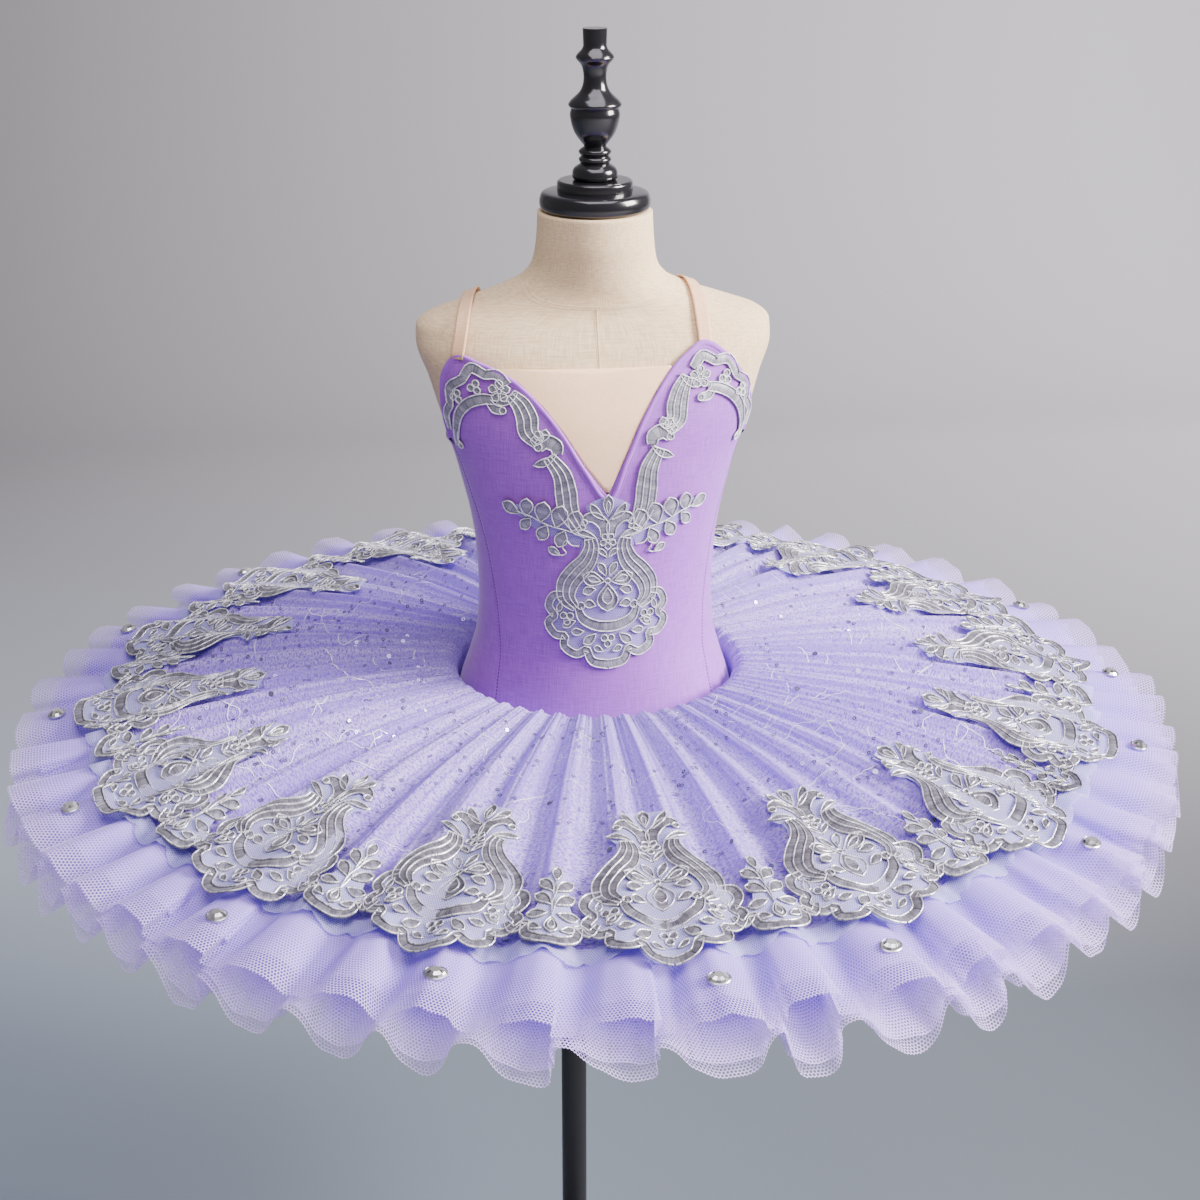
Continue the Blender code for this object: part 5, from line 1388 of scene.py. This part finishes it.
# Cup pieces: a scalloped arc under the cup's edge, a plain arc with a curled foot inside it,
# clovers between them and a flower where they meet.
for side_name, side, scallops, arc, clovers, flower in (
        ("right", -1, [(-122, 199), (-122, 211), (-116, 219), (-116, 219), (-114, 232),
                       (-103, 239), (-103, 239), (-96, 247), (-86, 243), (-86, 243), (-77, 243),
                       (-70, 236)],
         [(-117, 186), (-114, 200), (-109, 213), (-100, 222), (-89, 226), (-80, 226)],
         ((-109, 226), (-94, 234)), (-76, 232)),
        ("left", 1, [(117, 196), (118, 208), (111, 216), (111, 216), (109, 230), (99, 237),
                     (99, 237), (92, 248), (81, 248), (81, 248), (71, 252), (64, 244)],
         [(111, 187), (110, 200), (105, 213), (96, 223), (85, 229), (75, 231)],
         ((104, 225), (89, 236)), (69, 238))):
    design = blank()
    edged_band(design, scallops, (2.0, 3.2, 3.0, 3.0, 3.4, 3.0, 3.0, 3.4, 3.0, 3.0, 3.4, 3.2),
               steps=4, ends=False)
    edged_band(design, arc, (1.6, 2.8, 3.4, 3.6, 3.6, 3.0), steps=5, ends=False)
    (x, y), (head_x, head_y) = arc[0], arc[-1]
    comma(design, [arc[1], (x - side * 1, y + 6), (x - side * 5, y + 2)], (1.6, 2.2, 2.0), 2.3)
    comma(design, [(head_x + side * 4, head_y - 1), (head_x, head_y - 6),
                   (head_x - side * 6, head_y - 7)], (2.0, 3.0, 2.6), 2.4)
    for x, y in clovers:
        clover(design, x, y, 2.5, 40)
    star(design, flower, 1.5, 8, 5.6)
    ring(design, flower, 1.7, 6)
    sew_on_front("cup_lace_" + side_name, design, on_form_flat(CUP_STAND_OFF),
                 "bodice_lace_cup_" + side_name)
declare_stretched(front)

# ------------------------------------------------------------------ sequins and silver thread
# Ring sequins tacked in short rows, a few larger flat ones, and fine silver threads that wander
# between them: the overlay's net is sold with them sewn on.
SEQUIN_RADIUS, SEQUIN_HOLE = 0.0015, 0.0007
FLAT_RADIUS, FLAT_HOLE = 0.0022, 0.0002
SEQUIN_LIFT, THREAD_LIFT = 0.0007, 0.0006
NET_INNER, NET_OUTER = 0.120, 0.384
SEQUIN_ROWS, FLAT_SEQUINS, THREADS = 600, 46, 140
SIDES, TILT = 8, 0.22
ROWS_BETWEEN, ROW_HEADINGS = (0.122, 0.372), (-1.2, 1.2)
ROW_COUNTS, ROW_SPACINGS, SEQUIN_SIZES = (2, 5), (0.007, 0.010), (0.8, 1.1)
FLATS_BETWEEN = (0.13, 0.37)
# Metallised film mirrors the room in a few bright and many dark points; metal thread is a thin
# bright line.
sequin_film = new_finish("iridescent_sequin_film", "#8b85aa", 0.15, 0.75, Coat_Weight=0.5,
                         Coat_Roughness=0.05)[0]
silver_thread = new_finish("silver_metal_thread", "#ffffff", 0.3, 0.25)[0]
overlay_grid = overlay_points[-len(OVERLAY_RADII):]


def on_overlay(angle, radius, lift):
    """Points on the overlay at angles and radii, and the three directions that it has there."""
    wave, share = wave_of(angle)
    column = (wave + share) * COLUMNS_PER_WAVE
    row = np.interp(radius, OVERLAY_RADII, np.arange(len(OVERLAY_RADII)))
    i = np.clip(row.astype(int), 0, len(OVERLAY_RADII) - 2)
    j = column.astype(int) % COLUMNS
    after = (j + 1) % COLUMNS
    out, on = (row - i)[..., None], (column - column.astype(int))[..., None]
    inner, inner_next = overlay_grid[i, j], overlay_grid[i, after]
    outer, outer_next = overlay_grid[i + 1, j], overlay_grid[i + 1, after]
    spots = ((inner * (1 - on) + inner_next * on) * (1 - out)
             + (outer * (1 - on) + outer_next * on) * out)
    along = unit((inner_next - inner) * (1 - out) + (outer_next - outer) * out)
    outward = (outer - inner) * (1 - on) + (outer_next - inner_next) * on
    normal = unit(np.cross(outward, along))
    normal *= np.sign(normal[..., 2:])
    return spots + normal * lift, along, np.cross(normal, along), normal


def somewhere(inner, outer):
    """A random place on the overlay: an angle, and a radius that spreads places evenly."""
    return pick.uniform(0.0, 360.0), math.sqrt(pick.uniform(inner**2, outer**2))


def walk(angle, radius, step, heading):
    """The next place, a step away."""
    return (angle + math.degrees(step * math.cos(heading) / radius),
            radius + step * math.sin(heading))


pick = random.Random(23)
rows = []
for _ in range(SEQUIN_ROWS):
    angle, radius = somewhere(*ROWS_BETWEEN)
    heading, spacing = pick.uniform(*ROW_HEADINGS), pick.uniform(*ROW_SPACINGS)
    for _ in range(pick.randint(*ROW_COUNTS)):
        rows.append((angle, radius, SEQUIN_RADIUS * pick.uniform(*SEQUIN_SIZES), SEQUIN_HOLE))
        angle, radius = walk(angle, radius, spacing, heading)
        if not NET_INNER < radius < NET_OUTER:
            break
for _ in range(FLAT_SEQUINS):
    rows.append((*somewhere(*FLATS_BETWEEN), FLAT_RADIUS, FLAT_HOLE))
rows = np.array(rows)
centres, along, sideways, normal = on_overlay(rows[:, 0], rows[:, 1], SEQUIN_LIFT)
tilts = np.array([(pick.gauss(0.0, TILT), pick.gauss(0.0, TILT)) for _ in rows])
along = along + normal * tilts[:, :1]
sideways = sideways + normal * tilts[:, 1:]
turns = (np.arange(SIDES) * 2 * math.pi / SIDES)[None, :, None]
circle = along[:, None] * np.cos(turns) + sideways[:, None] * np.sin(turns)
points = np.concatenate([centres[:, None] + circle * rows[:, size, None, None]
                         for size in (2, 3)], 1).reshape(-1, 3)
here = np.arange(SIDES)
ring_faces = np.stack([here, (here + 1) % SIDES, (here + 1) % SIDES + SIDES, here + SIDES], -1)
faces = (ring_faces[None] + (np.arange(len(rows)) * 2 * SIDES)[:, None, None]).reshape(-1, 4)
sequins = cloth_piece("sequins", points, faces, None, [sequin_film])
settle(sequins, "stone")

# Threads, as narrow strips that lie on the net.
THREAD_HALF, THREAD_STEP = 0.00021, 0.0032
THREADS_BETWEEN, THREAD_HEADINGS = (0.125, 0.37), (-0.9, 0.9)
THREAD_COUNTS, THREAD_WANDER = (12, 26), 0.42  # steps in a thread, and its turn at each
thread_points, thread_faces = [], []
for _ in range(THREADS):
    angle, radius = somewhere(*THREADS_BETWEEN)
    heading = pick.uniform(*THREAD_HEADINGS) + (math.pi if pick.random() < 0.5 else 0.0)
    path = []
    for _ in range(pick.randint(*THREAD_COUNTS)):
        path.append((angle, radius))
        heading += pick.gauss(0.0, THREAD_WANDER)
        angle, radius = walk(angle, radius, THREAD_STEP, heading)
        if not NET_INNER < radius < NET_OUTER:
            break
    if len(path) < 4:
        continue
    spots, _, _, normal = on_overlay(*np.transpose(path), THREAD_LIFT)
    across = unit(np.cross(np.gradient(spots, axis=0), normal)) * THREAD_HALF
    index = sum(map(len, thread_points)) + np.arange(len(path)) * 2
    thread_points.append(np.stack([spots - across, spots + across], 1).reshape(-1, 3))
    thread_faces.append(np.stack([index[:-1], index[:-1] + 1, index[1:] + 1, index[1:]], -1))
threads = cloth_piece("silver_threads", np.vstack(thread_points), np.vstack(thread_faces), None,
                      [silver_thread])
settle(threads, "silver_lace")

# ------------------------------------------------------------------ stones
# Oval faceted acrylic stones, foiled behind, one glued on a crest of the top ruffle past each
# motif, in a thin silver rim.
STONE_SIDES, RIM_SIDES = 12, 24
STONE_PROFILE = [(0.0, 0.0), (0.0046, 0.0), (0.0050, 0.0008), (0.0040, 0.0024), (0.0023, 0.0034),
                 (0.0, 0.0034)]
RIM_PROFILE = [(0.0047, 0.0), (0.0056, 0.0), (0.0056, 0.0009), (0.0051, 0.0013), (0.0047, 0.0009)]
STONE_STRETCH = (1.2, 1.42, 1.2, 1.0)
STONE_SLOPE = math.radians(8.0)
STONE_LIFT = 0.0004
# Foiled crystal: a painted reflection, each flat facet painted a brighter or a darker tone by the
# way it faces, as if it mirrored a brighter or a darker part of the room. The rim is plated and
# softly mirrored.
foiled_crystal, tree, shader = new_finish("foiled_clear_crystal_painted_reflection", "#dfe3ea", 0.06, 0.8,
                                          Coat_Weight=0.8, Coat_Roughness=0.02)
FACET_SPREAD = (5.3, 7.1, 3.7)  # takes neighbouring facets to tones far apart
# Painted reflection: a tone for each facet, from the way it faces.
facing = add_node(tree, "NewGeometry", {}).outputs["True Normal"]
turned_to = add_node(tree, "VectorMath", {0: facing, 1: FACET_SPREAD}, operation="DOT_PRODUCT")
facet_painted_reflection = add_node(tree, "Math", {0: turned_to}, operation="FRACT")
set_inputs(shader, {"Base Color": add_node(tree, "Mix", {0: facet_painted_reflection, 6: "#6d6a72", 7: "#ffffff"},
                                           data_type="RGBA")})
silver_rim = new_finish("thin_silver_rim", "#b9bac4", 0.3, 0.9)[0]
for number in range(MOTIFS):
    name = "stone_%02d" % (number + 1)
    low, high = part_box(name)
    centre = (low + high) / 2
    outward = Vector((centre.x, centre.y, 0.0)).normalized()
    upward = Vector((0.0, 0.0, 1.0))
    placed = Matrix((outward, upward.cross(outward), upward)).transposed()
    placed = (placed @ Matrix.Rotation(STONE_SLOPE, 3, "Y")).to_4x4()
    placed.translation = Vector((centre.x, centre.y, low.z + STONE_LIFT))
    crystal = turn_on_lathe(name.replace("stone", "crystal"), STONE_PROFILE, (0.0, 0.0),
                            foiled_crystal, STONE_SIDES)
    bpy.ops.object.shade_flat()
    rim = turn_on_lathe("rim", RIM_PROFILE, (0.0, 0.0), silver_rim, RIM_SIDES)
    crystal.select_set(True)
    bpy.context.view_layer.objects.active = crystal
    bpy.ops.object.join()
    crystal.data.transform(placed @ Matrix.Diagonal(STONE_STRETCH))
    settle(crystal, "stone", name)
